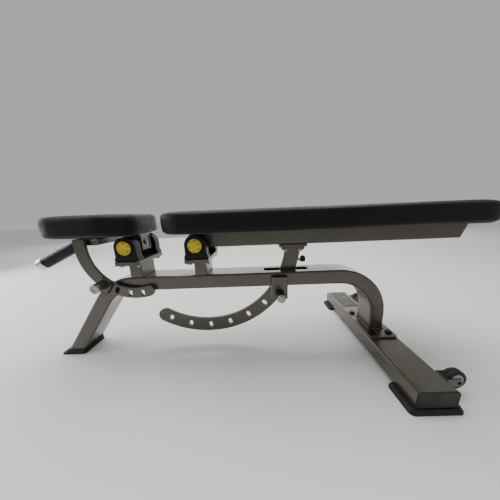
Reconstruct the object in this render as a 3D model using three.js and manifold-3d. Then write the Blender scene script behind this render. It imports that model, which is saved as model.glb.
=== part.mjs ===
// Adjustable weight bench: bent-tube frame, hinged seat and backrest, spring pins, transport wheels.
// Millimetres, +Z up. The seat is at the -X end, the backrest runs to +X, the pull pins are at -Y.
// While it is laid out, X is measured from the backrest pivot; the last lines centre the whole bench.
import * as THREE from 'three';
import * as BufferGeometryUtils from 'three/addons/utils/BufferGeometryUtils.js';
import Module from 'manifold-3d';

const wasm = await Module();
wasm.setup();

// ---------------------------------------------------------------- driving dimensions

const touchGap = 0.3; // between two pieces that touch or are welded
const runningGap = 0.3; // around a shaft, pin or wheel bore that turns or slides
const cutMargin = 2; // how far a cutter runs past the face that it opens
const weldOverlap = 1; // how far joined shapes sink into each other
const farAway = 1000; // past the whole bench

// Main tube: front leg, beam and upright, bent from one flat rectangular tube.
const tubeWidth = 85;
const tubeDepth = 45;
const tubeWall = 3;
const tubeEdgeRadius = 5;
const beamCentreHeight = 246;
const bendRadius = 130;
const legAngle = THREE.MathUtils.degToRad(53.5);
const legVertexX = -288; // where the leg's and the beam's centre lines cross
const uprightX = 564;

// Front foot shoe.
const frontFootLength = 84;
const frontFootOverhang = 5.5; // on each side of the tube
const frontFootSetBack = 2; // from the leg's centre line at the floor
const frontFootSole = 5;
const frontFootHeight = 17;
const frontFootWall = 4;
const frontFootCornerRadius = 8;

// Rear crossbar with its end caps, rubber shoes, flange and grip patch.
const baseWidth = 92;
const baseHeight = 48;
const baseLength = 556;
const baseWall = 3;
const baseEdgeRadius = 6;
const baseFloorGap = 7; // rubber under the crossbar
const endCapFlange = 4;
const endCapPlugDepth = 18;
const shoeLength = 86;
const shoeOverhang = 15;
const shoeEndOverhang = 7;
const shoeHeight = 13;
const shoeCornerRadius = 12;
const flangeThickness = 5.5;
const flangeLength = 178;
const flangeWidth = 86;
const flangeCornerRadius = 8;
const flangeBoltSpacingX = 54;
const flangeBoltSpacingY = 130;
const flangeBoltRadius = 5;
const patchWidth = 64;
const patchLength = 146;
const patchThickness = 1;
const patchEndInset = 2;

// Pivots of the seat and the backrest.
const pivotHeight = 366.5;
const pivotSpacing = 203;
const shaftRadius = 10;
const shaftLength = 142;
const standPostLength = 38;
const standPostWall = 3;
const standPlateTop = 327;
const standPlateThickness = 12;
const standPlateLength = 72;
const standPlateWidth = 160;
const standPlateCornerRadius = 6;

// Bearing blocks on the stands.
const housingThickness = 30;
const housingCentreY = 59;
const housingDomeRadius = 31.5;
const housingFootHalf = 35;
const housingFootHeight = 11;
const housingBossRadius = 25;
const housingBossHeight = 2;
const bearingOuterRadius = 18.5;
const bearingWidth = 24;
const bearingCapRadius = 20;
const bearingCapThickness = 4;
const bearingBoltX = 26;
const bearingBoltRadius = 4.5;
const bearingBoltReach = 12; // how far the bolt goes up into the block

// Fasteners: head or nut sizes are taken from the shank radius.
const headFactor = 1.75;
const headHeightFactor = 1.3;

// Pads and their boards.
const padUnderside = 403;
const boardThickness = 12;
const boardInset = 8;
const padTop = 463;
const padHalfWidth = 127;
const padEdgeRadius = 15;
const padCornerRadius = 82;
const backPadTailRadius = 66;
const seatPadFront = -435;
const seatPadRear = -162;
const backPadFront = -98;
const backPadRear = 828;

// Backrest tube, its flange joint and the toothed arc below it.
const backTubeSize = 50;
const backTubeWall = 3;
const backTubeFront = -30;
const backTubeRear = 797;
const backTubeEndSlant = 19; // how much longer the tube is at its top
const arcThickness = 10;
const backArcInnerRadius = 268;
const backArcOuterRadius = 316.5;
const backHoleStart = THREE.MathUtils.degToRad(33.7);
const backHoleStep = THREE.MathUtils.degToRad(13.8);
const backHoleCount = 7;
const backArcTipAngle = THREE.MathUtils.degToRad(120.8);
const backArcTipHoleAngle = THREE.MathUtils.degToRad(123.2);
const backArcTipHoleRadius = 3;
const holeWidth = 12.8;
const holeLength = 19;
const jointPlateThickness = 8;
const upperJointPlateLength = 87;
const upperJointPlateWidth = 60;
const lowerJointPlateLength = 72;
const lowerJointPlateWidth = 56;
const jointPlateCentreX = 289;
const jointBoltSpacingX = 48;
const jointBoltSpacingY = 36;
const jointBoltRadius = 4;
const beamSlotWidth = 34;
const beamSlotStart = 197;
const beamSlotEnd = 341;

// Rubber stop on the arc's outer edge.
const bumperStudRadius = 4;
const bumperStudLength = 10;
const bumperRadius = 9;
const bumperHeight = 20;
const bumperStandOff = 1; // from the arc to the stud
const bumperCentreHeight = 298;

// Seat frame, its arc and the carrying handle.
const seatBarThickness = 8;
const seatBarHalfWidth = 30;
const seatBarFront = -405;
const pivotBlockSize = 50;
const pivotBlockWall = 3;
const pivotBlockFront = 24; // ahead of the seat pivot
const pivotBlockRear = 26; // behind the seat pivot
const crossTubeFront = 26; // ahead of the arc's arm
const crossTubeRear = 52; // behind the arc's arm
const crossTubeHeight = 20;
const crossTubeWall = 2.5;
const seatArcInnerRadius = 127;
const seatArcOuterRadius = 161;
const seatArcSideGap = 4.5; // from the main tube's side to the arc
const seatHoleStart = THREE.MathUtils.degToRad(129.4);
const seatHoleStep = THREE.MathUtils.degToRad(-15.6);
const seatHoleCount = 4;
const seatArcTipAngle = THREE.MathUtils.degToRad(74.3);
const handleSlope = THREE.MathUtils.degToRad(24.3);
const handleEndX = -537;
const handleEndHeight = 310;
const handleTubeRadius = 11;
const handleTubeWall = 2;
const gripRadius = 18;
const gripLength = 138;
const handleCapRadius = 20;
const handleCapLength = 22;
const handleCapPlugLength = 14;

// Spring pins.
const pinRadius = 6;
const pinStemRadius = 4;
const pinCollarRadius = 9;
const pinCollarLength = 4;
const pinTipGap = 0.5; // the tip is stored just clear of the arc, so that the arc may turn
const pinBarrelGap = 3; // from the barrel's mouth to the arc
const springWireRadius = 1;
const springCoilRadius = 7;
const backBarrelRadius = 14;
const backBarrelLength = 76;
const backGuideLength = 28;
const backSpringTurns = 7;
const barrelWall = 4;
const barrelEndWall = 5;
const backKnobRadius = 12.5;
const backBracketWidth = 50;
const backBracketThickness = 5;
const backBracketDepth = 17;
const backBracketTop = 258;
const backBracketDrop = 18; // below the pin's axis
const seatBarrelRadius = 15;
const seatBarrelLength = 34;
const seatGuideLength = 6;
const seatSpringTurns = 4;
const seatKnobRadius = 14.5;
const seatKnobLength = 9;
const seatKnobDishRadius = 6;
const seatKnobDishDepth = 3;
const seatBracketThickness = 5;
const seatBracketWidth = 42;
const seatBracketInnerReach = 19; // from the pin's axis towards the pivot
const seatBracketWebGap = 4; // from the arc's outer edge to the web

// Fineness of round shapes: segments per half arc, and sides per full circle.
const cornerSegments = 2;
const bendSegments = 4;
const padCornerSegments = 4;
const backArcSegments = 10;
const seatArcSegments = 6;
const rimSegments = 1;
const shaftSides = 20;
const boltSides = 8;
const wheelSides = 20;
const springSteps = 6; // per turn

// Transport wheels.
const wheelRadius = 25;
const wheelWidth = 20;
const wheelHubRadius = 16;
const wheelHubBoreRadius = 5;
const wheelHubBossWall = 4;
const wheelHubRim = 3;
const wheelHubHalfWeb = 3;
const wheelShoulder = 3;
const wheelCentreHeight = 44;
const wheelCentreY = 232;
const wheelGapToBase = 5;
const wheelSideGap = 2;
const wheelPlateThickness = 4;
const wheelCheekHeight = 20;

// ---------------------------------------------------------------- derived places

const halfTubeWidth = tubeWidth / 2;
const frontFootWidth = tubeWidth + 2 * frontFootOverhang;
const seatArcNearFace = halfTubeWidth + seatArcSideGap + arcThickness;
const beamTop = beamCentreHeight + tubeDepth / 2;
const baseBottom = baseFloorGap + touchGap;
const baseTop = baseBottom + baseHeight;
const flangeTop = baseTop + touchGap + flangeThickness;
const halfBaseLength = baseLength / 2;
const seatPivotX = -pivotSpacing;
const frameUnderside = padUnderside - touchGap; // top of the steel under the boards
const housingBottom = standPlateTop + touchGap;
const standPlateBottom = standPlateTop - standPlateThickness;
const upperJointPlateBottom = frameUnderside - backTubeSize - jointPlateThickness;
const lowerJointPlateTop = upperJointPlateBottom - touchGap;
const lowerJointPlateBottom = lowerJointPlateTop - jointPlateThickness;
const backHoleRadius = (backArcInnerRadius + backArcOuterRadius) / 2;
const seatHoleRadius = (seatArcInnerRadius + seatArcOuterRadius) / 2;
const backPinX = backHoleRadius * Math.cos(backHoleStart);
const backPinHeight = pivotHeight - backHoleRadius * Math.sin(backHoleStart);
const seatPinX = seatPivotX + seatHoleRadius * Math.cos(seatHoleStart);
const seatPinHeight = pivotHeight - seatHoleRadius * Math.sin(seatHoleStart);
const wheelCentreX = uprightX + baseWidth / 2 + wheelGapToBase + wheelRadius;

// ---------------------------------------------------------------- solid helpers

/** Turns a closed three.js geometry into a solid that can be cut and joined. */
function solidOf(geometry) {
  const plain = geometry.clone();
  plain.deleteAttribute('normal');
  plain.deleteAttribute('uv');
  const welded = BufferGeometryUtils.mergeVertices(plain, 1e-4);
  return new wasm.Manifold(new wasm.Mesh({
    numProp: 3,
    vertProperties: new Float32Array(welded.attributes.position.array),
    triVerts: new Uint32Array(welded.index.array),
  }));
}

/** Turns a solid back into a three.js geometry. */
function geometryOf(solid) {
  const mesh = solid.getMesh();
  const geometry = new THREE.BufferGeometry();
  geometry.setAttribute('position', new THREE.BufferAttribute(mesh.vertProperties, 3));
  geometry.setIndex(new THREE.BufferAttribute(mesh.triVerts, 1));
  geometry.computeVertexNormals();
  return geometry;
}

/** Cuts every tool out of a solid. */
function cut(solid, ...tools) {
  return tools.reduce((left, tool) => left.subtract(tool), solid);
}

/** Joins solids into one. */
function join(first, ...others) {
  return others.reduce((sum, other) => sum.add(other), first);
}

/** A block between two corners. */
function block(low, high) {
  const size = high.map((value, axis) => value - low[axis]);
  const geometry = new THREE.BoxGeometry(...size);
  geometry.translate(...low.map((value, axis) => value + size[axis] / 2));
  return solidOf(geometry);
}

/** Extrudes a shape with optional rounded rims; the result spans 0 to length along its own Z. */
function extrude(shape, length, rimRadius, curveSegments) {
  const geometry = new THREE.ExtrudeGeometry(shape, {
    depth: length - 2 * rimRadius,
    curveSegments,
    bevelEnabled: rimRadius > 0,
    bevelThickness: rimRadius,
    bevelSize: rimRadius,
    bevelOffset: -rimRadius,
    bevelSegments: rimSegments,
  });
  geometry.translate(0, 0, rimRadius);
  return geometry;
}

/** A prism whose shape is drawn in X and Z, from y0 to y1. */
function prismAlongY(shape, y0, y1, rimRadius = 0, curveSegments = cornerSegments) {
  const geometry = extrude(shape, y1 - y0, rimRadius, curveSegments);
  geometry.rotateX(Math.PI / 2);
  geometry.translate(0, y1, 0);
  return solidOf(geometry);
}

/** A prism whose shape is drawn in X and Y, from z0 to z1. */
function prismAlongZ(shape, z0, z1, rimRadius = 0, curveSegments = cornerSegments) {
  const geometry = extrude(shape, z1 - z0, rimRadius, curveSegments);
  geometry.translate(0, 0, z0);
  return solidOf(geometry);
}

/** A round bar along Y. */
function barAlongY(radius, x, z, y0, y1, sideCount = shaftSides) {
  const geometry = new THREE.CylinderGeometry(radius, radius, y1 - y0, sideCount);
  geometry.translate(x, (y0 + y1) / 2, z);
  return solidOf(geometry);
}

/** A round bar along Z. */
function barAlongZ(radius, x, y, z0, z1, sideCount = boltSides) {
  const geometry = new THREE.CylinderGeometry(radius, radius, z1 - z0, sideCount);
  geometry.rotateX(Math.PI / 2);
  geometry.translate(x, y, (z0 + z1) / 2);
  return solidOf(geometry);
}

/** A rounded rectangle between two corners. */
function roundedRectangle(x0, x1, y0, y1, radius) {
  return unevenRectangle(x0, x1, y0, y1, radius, radius);
}

/** A rectangle whose corners are rounded by one radius at its low-x end and another at its high-x end. */
function unevenRectangle(x0, x1, y0, y1, lowRadius, highRadius) {
  const quarter = Math.PI / 2;
  const shape = new THREE.Shape();
  shape.absarc(x0 + lowRadius, y0 + lowRadius, lowRadius, 2 * quarter, 3 * quarter);
  shape.absarc(x1 - highRadius, y0 + highRadius, highRadius, 3 * quarter, 4 * quarter);
  shape.absarc(x1 - highRadius, y1 - highRadius, highRadius, 0, quarter);
  shape.absarc(x0 + lowRadius, y1 - lowRadius, lowRadius, quarter, 2 * quarter);
  shape.closePath();
  return shape;
}

/** A bolt standing along Z: a hexagonal head whose seat is at seatZ and a shank that ends at tipZ. */
function boltAlongZ(radius, x, y, seatZ, tipZ) {
  const away = Math.sign(seatZ - tipZ);
  const headEnd = seatZ + away * radius * headHeightFactor;
  const head = barAlongZ(radius * headFactor, x, y, Math.min(seatZ, headEnd), Math.max(seatZ, headEnd), 6);
  const overlap = seatZ + away * radius * headHeightFactor / 2;
  const shank = barAlongZ(radius, x, y, Math.min(overlap, tipZ), Math.max(overlap, tipZ));
  return join(head, shank);
}

/** The four combinations of a low and a high sign. */
const corners = [[-1, -1], [1, -1], [-1, 1], [1, 1]];
const sides = [['near', -1], ['far', 1]];

// ---------------------------------------------------------------- finishes

const finishes = {
  frame: { color: 0x8d8b84, roughness: 0.35, metalness: 0.6 },
  steel: { color: 0xa9abad, roughness: 0.3, metalness: 1.0 },
  chrome: { color: 0xd8dadd, roughness: 0.08, metalness: 1.0 },
  blackPlastic: { color: 0x141414, roughness: 0.45, metalness: 0.0 },
  yellowPlastic: { color: 0xe0b400, roughness: 0.4, metalness: 0.0 },
  rubber: { color: 0x17181a, roughness: 0.8, metalness: 0.0 },
  vinyl: { color: 0x111317, roughness: 0.5, metalness: 0.0 },
  plywood: { color: 0xb08d5f, roughness: 0.8, metalness: 0.0 },
  palePlastic: { color: 0xc9cbcc, roughness: 0.35, metalness: 0.0 },
  gripPatch: { color: 0x3c3c3c, roughness: 0.95, metalness: 0.0 },
};

const bench = new THREE.Group();

/** Adds one named sub-part to the bench. */
function addPiece(name, solid, finish) {
  const mesh = new THREE.Mesh(geometryOf(solid), new THREE.MeshStandardMaterial(finishes[finish]));
  mesh.name = name;
  bench.add(mesh);
}

// ---------------------------------------------------------------- main tube and front foot

/** Side outline of the bent tube, `half` away from its centre line; the leg runs past the floor. */
function tubeOutline(half, uprightEnd) {
  const bendCentreHeight = beamCentreHeight - bendRadius;
  const frontBendX = legVertexX + bendRadius * Math.tan(legAngle / 2);
  const rearBendX = uprightX - bendRadius;
  const outer = bendRadius + half;
  const inner = bendRadius - half;
  const quarter = Math.PI / 2;
  const legReach = beamCentreHeight / Math.sin(legAngle);
  const legCorner = (radius) => [
    frontBendX - radius * Math.sin(legAngle) - legReach * Math.cos(legAngle),
    bendCentreHeight + radius * Math.cos(legAngle) - legReach * Math.sin(legAngle),
  ];
  const shape = new THREE.Shape();
  shape.moveTo(...legCorner(outer));
  shape.absarc(frontBendX, bendCentreHeight, outer, quarter + legAngle, quarter, true);
  shape.absarc(rearBendX, bendCentreHeight, outer, quarter, 0, true);
  shape.lineTo(uprightX + half, uprightEnd);
  shape.lineTo(uprightX - half, uprightEnd);
  shape.absarc(rearBendX, bendCentreHeight, inner, 0, quarter, false);
  shape.absarc(frontBendX, bendCentreHeight, inner, quarter, quarter + legAngle, false);
  shape.lineTo(...legCorner(inner));
  shape.closePath();
  return shape;
}

/** The bent tube's outside, grown by `grow` on every face. */
function tubeEnvelope(grow, uprightEnd) {
  const half = tubeDepth / 2 + grow;
  const halfWidth = halfTubeWidth + grow;
  const outline = tubeOutline(half, uprightEnd);
  return prismAlongY(outline, -halfWidth, halfWidth, tubeEdgeRadius + grow, bendSegments);
}

/** One tube bent into leg, beam and upright, slotted where the arc passes, with its foot flange welded on. */
function mainTube() {
  const legEnd = frontFootSole + touchGap;
  const uprightEnd = flangeTop - flangeThickness / 2;
  const blank = tubeEnvelope(0, uprightEnd - tubeEdgeRadius);
  const innerHalf = tubeDepth / 2 - tubeWall;
  const innerWidth = halfTubeWidth - tubeWall;
  const hollow = prismAlongY(
    tubeOutline(innerHalf, uprightEnd - 2 * tubeEdgeRadius),
    -innerWidth,
    innerWidth,
    0,
    bendSegments,
  );
  const middleX = uprightX - bendRadius;
  const legFloor = block([-farAway, -farAway, -farAway], [middleX, farAway, legEnd]);
  const uprightFloor = block([middleX, -farAway, -farAway], [farAway, farAway, uprightEnd]);
  const uprightBore = block(
    [uprightX - innerHalf, -innerWidth, baseTop],
    [uprightX + innerHalf, innerWidth, flangeTop + cutMargin],
  );
  const slot = prismAlongZ(
    roundedRectangle(beamSlotStart, beamSlotEnd, -beamSlotWidth / 2, beamSlotWidth / 2, beamSlotWidth / 5),
    beamTop - tubeDepth - cutMargin,
    beamTop + cutMargin,
  );
  return join(cut(blank, hollow, legFloor, uprightFloor, slot), cut(uprightFlange(), uprightBore));
}

/** Black shoe with a wide sole and a short socket around the leg's end. */
function frontFoot() {
  const centreX = legVertexX - beamCentreHeight / Math.tan(legAngle) - frontFootSetBack;
  const sole = prismAlongZ(
    roundedRectangle(
      centreX - frontFootLength / 2,
      centreX + frontFootLength / 2,
      -frontFootWidth / 2,
      frontFootWidth / 2,
      frontFootCornerRadius,
    ),
    0,
    frontFootSole,
  );
  const reach = frontFootLength;
  const window = block(
    [centreX - reach, -frontFootWidth, frontFootSole - weldOverlap],
    [centreX + reach, frontFootWidth, frontFootHeight],
  );
  const socket = tubeEnvelope(touchGap + frontFootWall, flangeTop).intersect(window);
  const pocket = tubeEnvelope(touchGap, flangeTop).intersect(
    block(
      [centreX - reach, -frontFootWidth, frontFootSole],
      [centreX + reach, frontFootWidth, frontFootHeight + cutMargin],
    ),
  );
  return cut(join(sole, socket), pocket);
}

addPiece('main_tube', mainTube(), 'frame');
addPiece('front_foot', frontFoot(), 'rubber');

// ---------------------------------------------------------------- rear crossbar

/** Section of the crossbar, drawn in X and Z, shrunk by `inset`. */
function baseSection(inset) {
  const half = baseWidth / 2 - inset;
  return roundedRectangle(
    uprightX - half,
    uprightX + half,
    baseBottom + inset,
    baseTop - inset,
    Math.max(baseEdgeRadius - inset, 1),
  );
}

/** Rectangular crossbar, open at both ends, drilled for the flange bolts. */
function baseCrossbar() {
  const tube = cut(
    prismAlongY(baseSection(0), -halfBaseLength, halfBaseLength),
    prismAlongY(baseSection(baseWall), -halfBaseLength - cutMargin, halfBaseLength + cutMargin),
  );
  return cut(tube, ...flangeBoltPlaces().map(([x, y]) => (
    barAlongZ(flangeBoltRadius + touchGap, x, y, baseTop - baseWall - cutMargin, baseTop + cutMargin)
  )));
}

/** Black plastic plug in one end of the crossbar. */
function baseEndCap(side) {
  const face = side * halfBaseLength;
  const outer = face + side * (touchGap + endCapFlange);
  const seat = face + side * touchGap;
  const inner = face - side * endCapPlugDepth;
  const lid = prismAlongY(baseSection(0), Math.min(seat, outer), Math.max(seat, outer));
  const plug = prismAlongY(baseSection(baseWall + touchGap), Math.min(inner, outer), Math.max(inner, outer));
  return join(lid, plug);
}

/** Rubber shoe that the crossbar's end stands in. */
function baseShoe(side) {
  const outerY = halfBaseLength + shoeEndOverhang + endCapFlange;
  const innerY = outerY - shoeLength;
  const halfX = baseWidth / 2 + shoeOverhang;
  const plan = roundedRectangle(
    uprightX - halfX,
    uprightX + halfX,
    side > 0 ? innerY : -outerY,
    side > 0 ? outerY : -innerY,
    shoeCornerRadius,
  );
  const pocketHalf = baseWidth / 2 + touchGap;
  const capFace = halfBaseLength + endCapFlange + 2 * touchGap;
  const pocket = block(
    [uprightX - pocketHalf, side > 0 ? innerY - cutMargin : -capFace, baseFloorGap],
    [uprightX + pocketHalf, side > 0 ? capFace : -innerY + cutMargin, shoeHeight + cutMargin],
  );
  return cut(prismAlongZ(plan, 0, shoeHeight, 2), pocket);
}

/** Centres of the four bolts that hold the upright's flange. */
function flangeBoltPlaces() {
  return corners.map(([a, b]) => [uprightX + a * flangeBoltSpacingX / 2, b * flangeBoltSpacingY / 2]);
}

/** Plate at the foot of the upright. */
function uprightFlange() {
  const plate = prismAlongZ(
    roundedRectangle(
      uprightX - flangeWidth / 2,
      uprightX + flangeWidth / 2,
      -flangeLength / 2,
      flangeLength / 2,
      flangeCornerRadius,
    ),
    baseTop + touchGap,
    flangeTop,
  );
  return cut(plate, ...flangeBoltPlaces().map(([x, y]) => (
    barAlongZ(flangeBoltRadius + touchGap, x, y, baseTop - cutMargin, flangeTop + cutMargin)
  )));
}

/** Thin anti-slip patch on the far half of the crossbar. */
function gripPatch() {
  const farEdge = halfBaseLength - patchEndInset;
  return prismAlongZ(
    roundedRectangle(uprightX - patchWidth / 2, uprightX + patchWidth / 2, farEdge - patchLength, farEdge, 3),
    baseTop + touchGap / 3,
    baseTop + touchGap / 3 + patchThickness,
  );
}

addPiece('base_crossbar', baseCrossbar(), 'frame');
for (const [label, side] of sides) {
  addPiece(`base_end_cap_${label}`, baseEndCap(side), 'blackPlastic');
  addPiece(`base_shoe_${label}`, baseShoe(side), 'rubber');
}
flangeBoltPlaces().forEach(([x, y], index) => {
  const seat = flangeTop + touchGap;
  const tip = baseTop - baseWall - flangeBoltRadius;
  addPiece(`flange_bolt_${index + 1}`, boltAlongZ(flangeBoltRadius, x, y, seat, tip), 'steel');
});
addPiece('grip_patch', gripPatch(), 'gripPatch');

// ---------------------------------------------------------------- pivot stands and bearings

/** Post and top plate that carry one pair of bearing blocks. */
function pivotStand(pivotX) {
  const halfPost = standPostLength / 2;
  const postBottom = beamTop + touchGap;
  const post = block(
    [pivotX - halfPost, -halfTubeWidth, postBottom],
    [pivotX + halfPost, halfTubeWidth, standPlateTop - weldOverlap],
  );
  const hollow = block(
    [pivotX - halfPost + standPostWall, -halfTubeWidth + standPostWall, postBottom - cutMargin],
    [pivotX + halfPost - standPostWall, halfTubeWidth - standPostWall, standPlateBottom],
  );
  const plate = prismAlongZ(
    roundedRectangle(
      pivotX - standPlateLength / 2,
      pivotX + standPlateLength / 2,
      -standPlateWidth / 2,
      standPlateWidth / 2,
      standPlateCornerRadius,
    ),
    standPlateBottom,
    standPlateTop,
  );
  const holes = corners.map(([a, b]) => barAlongZ(
    bearingBoltRadius + touchGap,
    pivotX + a * bearingBoltX,
    b * housingCentreY,
    standPlateBottom - cutMargin,
    standPlateTop + cutMargin,
  ));
  return cut(join(cut(post, hollow), plate), ...holes);
}

/** Side outline of a bearing block: a foot, straight sides and a round top. */
function housingOutline(pivotX) {
  const footTop = housingBottom + housingFootHeight;
  const shape = new THREE.Shape();
  shape.moveTo(pivotX - housingFootHalf, housingBottom);
  shape.lineTo(pivotX + housingFootHalf, housingBottom);
  shape.lineTo(pivotX + housingFootHalf, footTop);
  shape.lineTo(pivotX + housingDomeRadius, footTop + housingFootHalf - housingDomeRadius);
  shape.absarc(pivotX, pivotHeight, housingDomeRadius, 0, Math.PI, false);
  shape.lineTo(pivotX - housingDomeRadius, footTop + housingFootHalf - housingDomeRadius);
  shape.lineTo(pivotX - housingFootHalf, footTop);
  shape.closePath();
  return shape;
}

/** Black bearing block with a raised ring on its outer face. */
function bearingHousing(pivotX, side) {
  const innerFace = side * (housingCentreY - housingThickness / 2);
  const outerFace = side * (housingCentreY + housingThickness / 2);
  const bossFace = outerFace + side * housingBossHeight;
  const low = Math.min(innerFace, outerFace);
  const high = Math.max(innerFace, outerFace);
  const body = join(
    prismAlongY(housingOutline(pivotX), low, high, 2, bendSegments),
    barAlongY(
      housingBossRadius,
      pivotX,
      pivotHeight,
      Math.min(bossFace, housingCentreY * side),
      Math.max(bossFace, housingCentreY * side),
    ),
  );
  const bore = barAlongY(
    bearingOuterRadius + touchGap,
    pivotX,
    pivotHeight,
    low - cutMargin,
    high + cutMargin + housingBossHeight,
  );
  const seat = barAlongY(
    bearingCapRadius + touchGap,
    pivotX,
    pivotHeight,
    Math.min(outerFace, bossFace + side * cutMargin),
    Math.max(outerFace, bossFace + side * cutMargin),
  );
  const boltHoles = [-1, 1].map((end) => barAlongZ(
    bearingBoltRadius + touchGap,
    pivotX + end * bearingBoltX,
    side * housingCentreY,
    housingBottom - cutMargin,
    housingBottom + bearingBoltReach + touchGap,
  ));
  return cut(body, bore, seat, ...boltHoles);
}

/** Steel bearing ring pressed into the block. */
function bearingRing(pivotX, side) {
  const low = side * housingCentreY - bearingWidth / 2;
  const high = side * housingCentreY + bearingWidth / 2;
  return cut(
    barAlongY(bearingOuterRadius, pivotX, pivotHeight, low, high),
    barAlongY(shaftRadius + runningGap, pivotX, pivotHeight, low - cutMargin, high + cutMargin),
  );
}

/** Round cover that closes the bearing from outside. */
function bearingCap(pivotX, side) {
  const seat = side * (housingCentreY + housingThickness / 2 + touchGap);
  const face = seat + side * bearingCapThickness;
  return barAlongY(bearingCapRadius, pivotX, pivotHeight, Math.min(seat, face), Math.max(seat, face));
}

/** Shaft that joins a moving frame to its two bearings. */
function pivotShaft(pivotX) {
  return barAlongY(shaftRadius, pivotX, pivotHeight, -shaftLength / 2, shaftLength / 2);
}

for (const [owner, pivotX] of [['seat', seatPivotX], ['back', 0]]) {
  addPiece(`${owner}_stand`, pivotStand(pivotX), 'frame');
  for (const [label, side] of sides) {
    addPiece(`${owner}_bearing_block_${label}`, bearingHousing(pivotX, side), 'blackPlastic');
    addPiece(`${owner}_bearing_ring_${label}`, bearingRing(pivotX, side), 'steel');
    addPiece(`${owner}_bearing_cap_${label}`, bearingCap(pivotX, side), 'yellowPlastic');
    const bolt = boltAlongZ(
      bearingBoltRadius,
      pivotX - bearingBoltX,
      side * housingCentreY,
      standPlateBottom - touchGap,
      housingBottom + bearingBoltReach,
    );
    addPiece(`${owner}_bearing_bolt_${label}`, bolt, 'steel');
  }
  addPiece(`${owner}_shaft`, pivotShaft(pivotX), 'steel');
}

// ---------------------------------------------------------------- pads and boards

/** Plan of a pad between two ends, shrunk by `inset`. */
function padPlan(front, rear, frontRadius, rearRadius, inset) {
  return unevenRectangle(
    front + inset,
    rear - inset,
    -padHalfWidth + inset,
    padHalfWidth - inset,
    frontRadius - inset,
    rearRadius - inset,
  );
}

/** Upholstery: a rounded cushion that wraps its board. */
function pad(front, rear, frontRadius, rearRadius) {
  const bottomWaste = 2 * padEdgeRadius;
  const cushion = prismAlongZ(
    padPlan(front, rear, frontRadius, rearRadius, 0),
    padUnderside - bottomWaste,
    padTop,
    padEdgeRadius,
    padCornerSegments,
  );
  const below = block(
    [front - cutMargin, -padHalfWidth - cutMargin, padUnderside - bottomWaste - cutMargin],
    [rear + cutMargin, padHalfWidth + cutMargin, padUnderside],
  );
  const recess = prismAlongZ(
    padPlan(front, rear, frontRadius, rearRadius, boardInset - touchGap),
    padUnderside - cutMargin,
    padUnderside + boardThickness + touchGap,
    0,
    padCornerSegments,
  );
  return cut(cushion, below, recess);
}

/** Plywood board inside the pad's underside. */
function board(front, rear, frontRadius, rearRadius) {
  return prismAlongZ(
    padPlan(front, rear, frontRadius, rearRadius, boardInset),
    padUnderside,
    padUnderside + boardThickness,
    0,
    padCornerSegments,
  );
}

addPiece('seat_pad', pad(seatPadFront, seatPadRear, padCornerRadius, padCornerRadius), 'vinyl');
addPiece('seat_board', board(seatPadFront, seatPadRear, padCornerRadius, padCornerRadius), 'plywood');
addPiece('back_pad', pad(backPadFront, backPadRear, padCornerRadius, backPadTailRadius), 'vinyl');
addPiece('back_board', board(backPadFront, backPadRear, padCornerRadius, backPadTailRadius), 'plywood');

// ---------------------------------------------------------------- toothed arcs

/** Direction at an angle below the +X axis, seen from the near side. */
function below(angle) {
  return [Math.cos(angle), -Math.sin(angle)];
}

/** Band around a pivot from one angle below +X to another, with a round tip at `tipAngle`. */
function arcBand(pivotX, inner, outer, rootAngle, tipAngle) {
  const middle = (inner + outer) / 2;
  const [tipX, tipDrop] = below(tipAngle).map((value) => value * middle);
  const tipCentreX = pivotX + tipX;
  const tipCentreZ = pivotHeight + tipDrop;
  const clockwise = tipAngle > rootAngle;
  const tipStart = clockwise ? -tipAngle : -tipAngle + Math.PI;
  const shape = new THREE.Shape();
  if (clockwise) {
    shape.absarc(pivotX, pivotHeight, outer, -rootAngle, -tipAngle, true);
    shape.absarc(tipCentreX, tipCentreZ, (outer - inner) / 2, tipStart, tipStart - Math.PI, true);
    shape.absarc(pivotX, pivotHeight, inner, -tipAngle, -rootAngle, false);
  } else {
    shape.absarc(pivotX, pivotHeight, inner, -rootAngle, -tipAngle, false);
    shape.absarc(tipCentreX, tipCentreZ, (outer - inner) / 2, tipStart, tipStart - Math.PI, true);
    shape.absarc(pivotX, pivotHeight, outer, -tipAngle, -rootAngle, true);
  }
  shape.closePath();
  return shape;
}

/** Cutter for one locking hole: a slot whose long side points at the pivot. */
function lockingHole(pivotX, radius, angle, y0, y1) {
  const straight = holeLength - holeWidth;
  const [dx, dz] = below(angle);
  const ends = [-1, 1].map((end) => {
    const reach = radius + end * straight / 2;
    return barAlongY(holeWidth / 2, pivotX + reach * dx, pivotHeight + reach * dz, y0, y1, boltSides);
  });
  const middle = new THREE.BoxGeometry(straight, y1 - y0, holeWidth);
  middle.rotateY(angle);
  middle.translate(pivotX + radius * dx, (y0 + y1) / 2, pivotHeight + radius * dz);
  return join(solidOf(middle), ...ends);
}

/** Centres of the four bolts that clamp the arc's plate to the tube's plate. */
function jointBoltPlaces() {
  return corners.map(([a, b]) => [
    jointPlateCentreX + a * jointBoltSpacingX / 2,
    b * jointBoltSpacingY / 2,
  ]);
}

/** One of the two plates of the bolted joint between arc and backrest tube. */
function jointPlate(length, width, bottom) {
  return prismAlongZ(
    roundedRectangle(
      jointPlateCentreX - length / 2,
      jointPlateCentreX + length / 2,
      -width / 2,
      width / 2,
      4,
    ),
    bottom,
    bottom + jointPlateThickness,
  );
}

/** Holes for the joint's four bolts. */
function jointBoltHoles() {
  return jointBoltPlaces().map(([x, y]) => (
    barAlongZ(
      jointBoltRadius + touchGap,
      x,
      y,
      lowerJointPlateBottom - cutMargin,
      frameUnderside - backTubeSize,
    )
  ));
}

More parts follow.
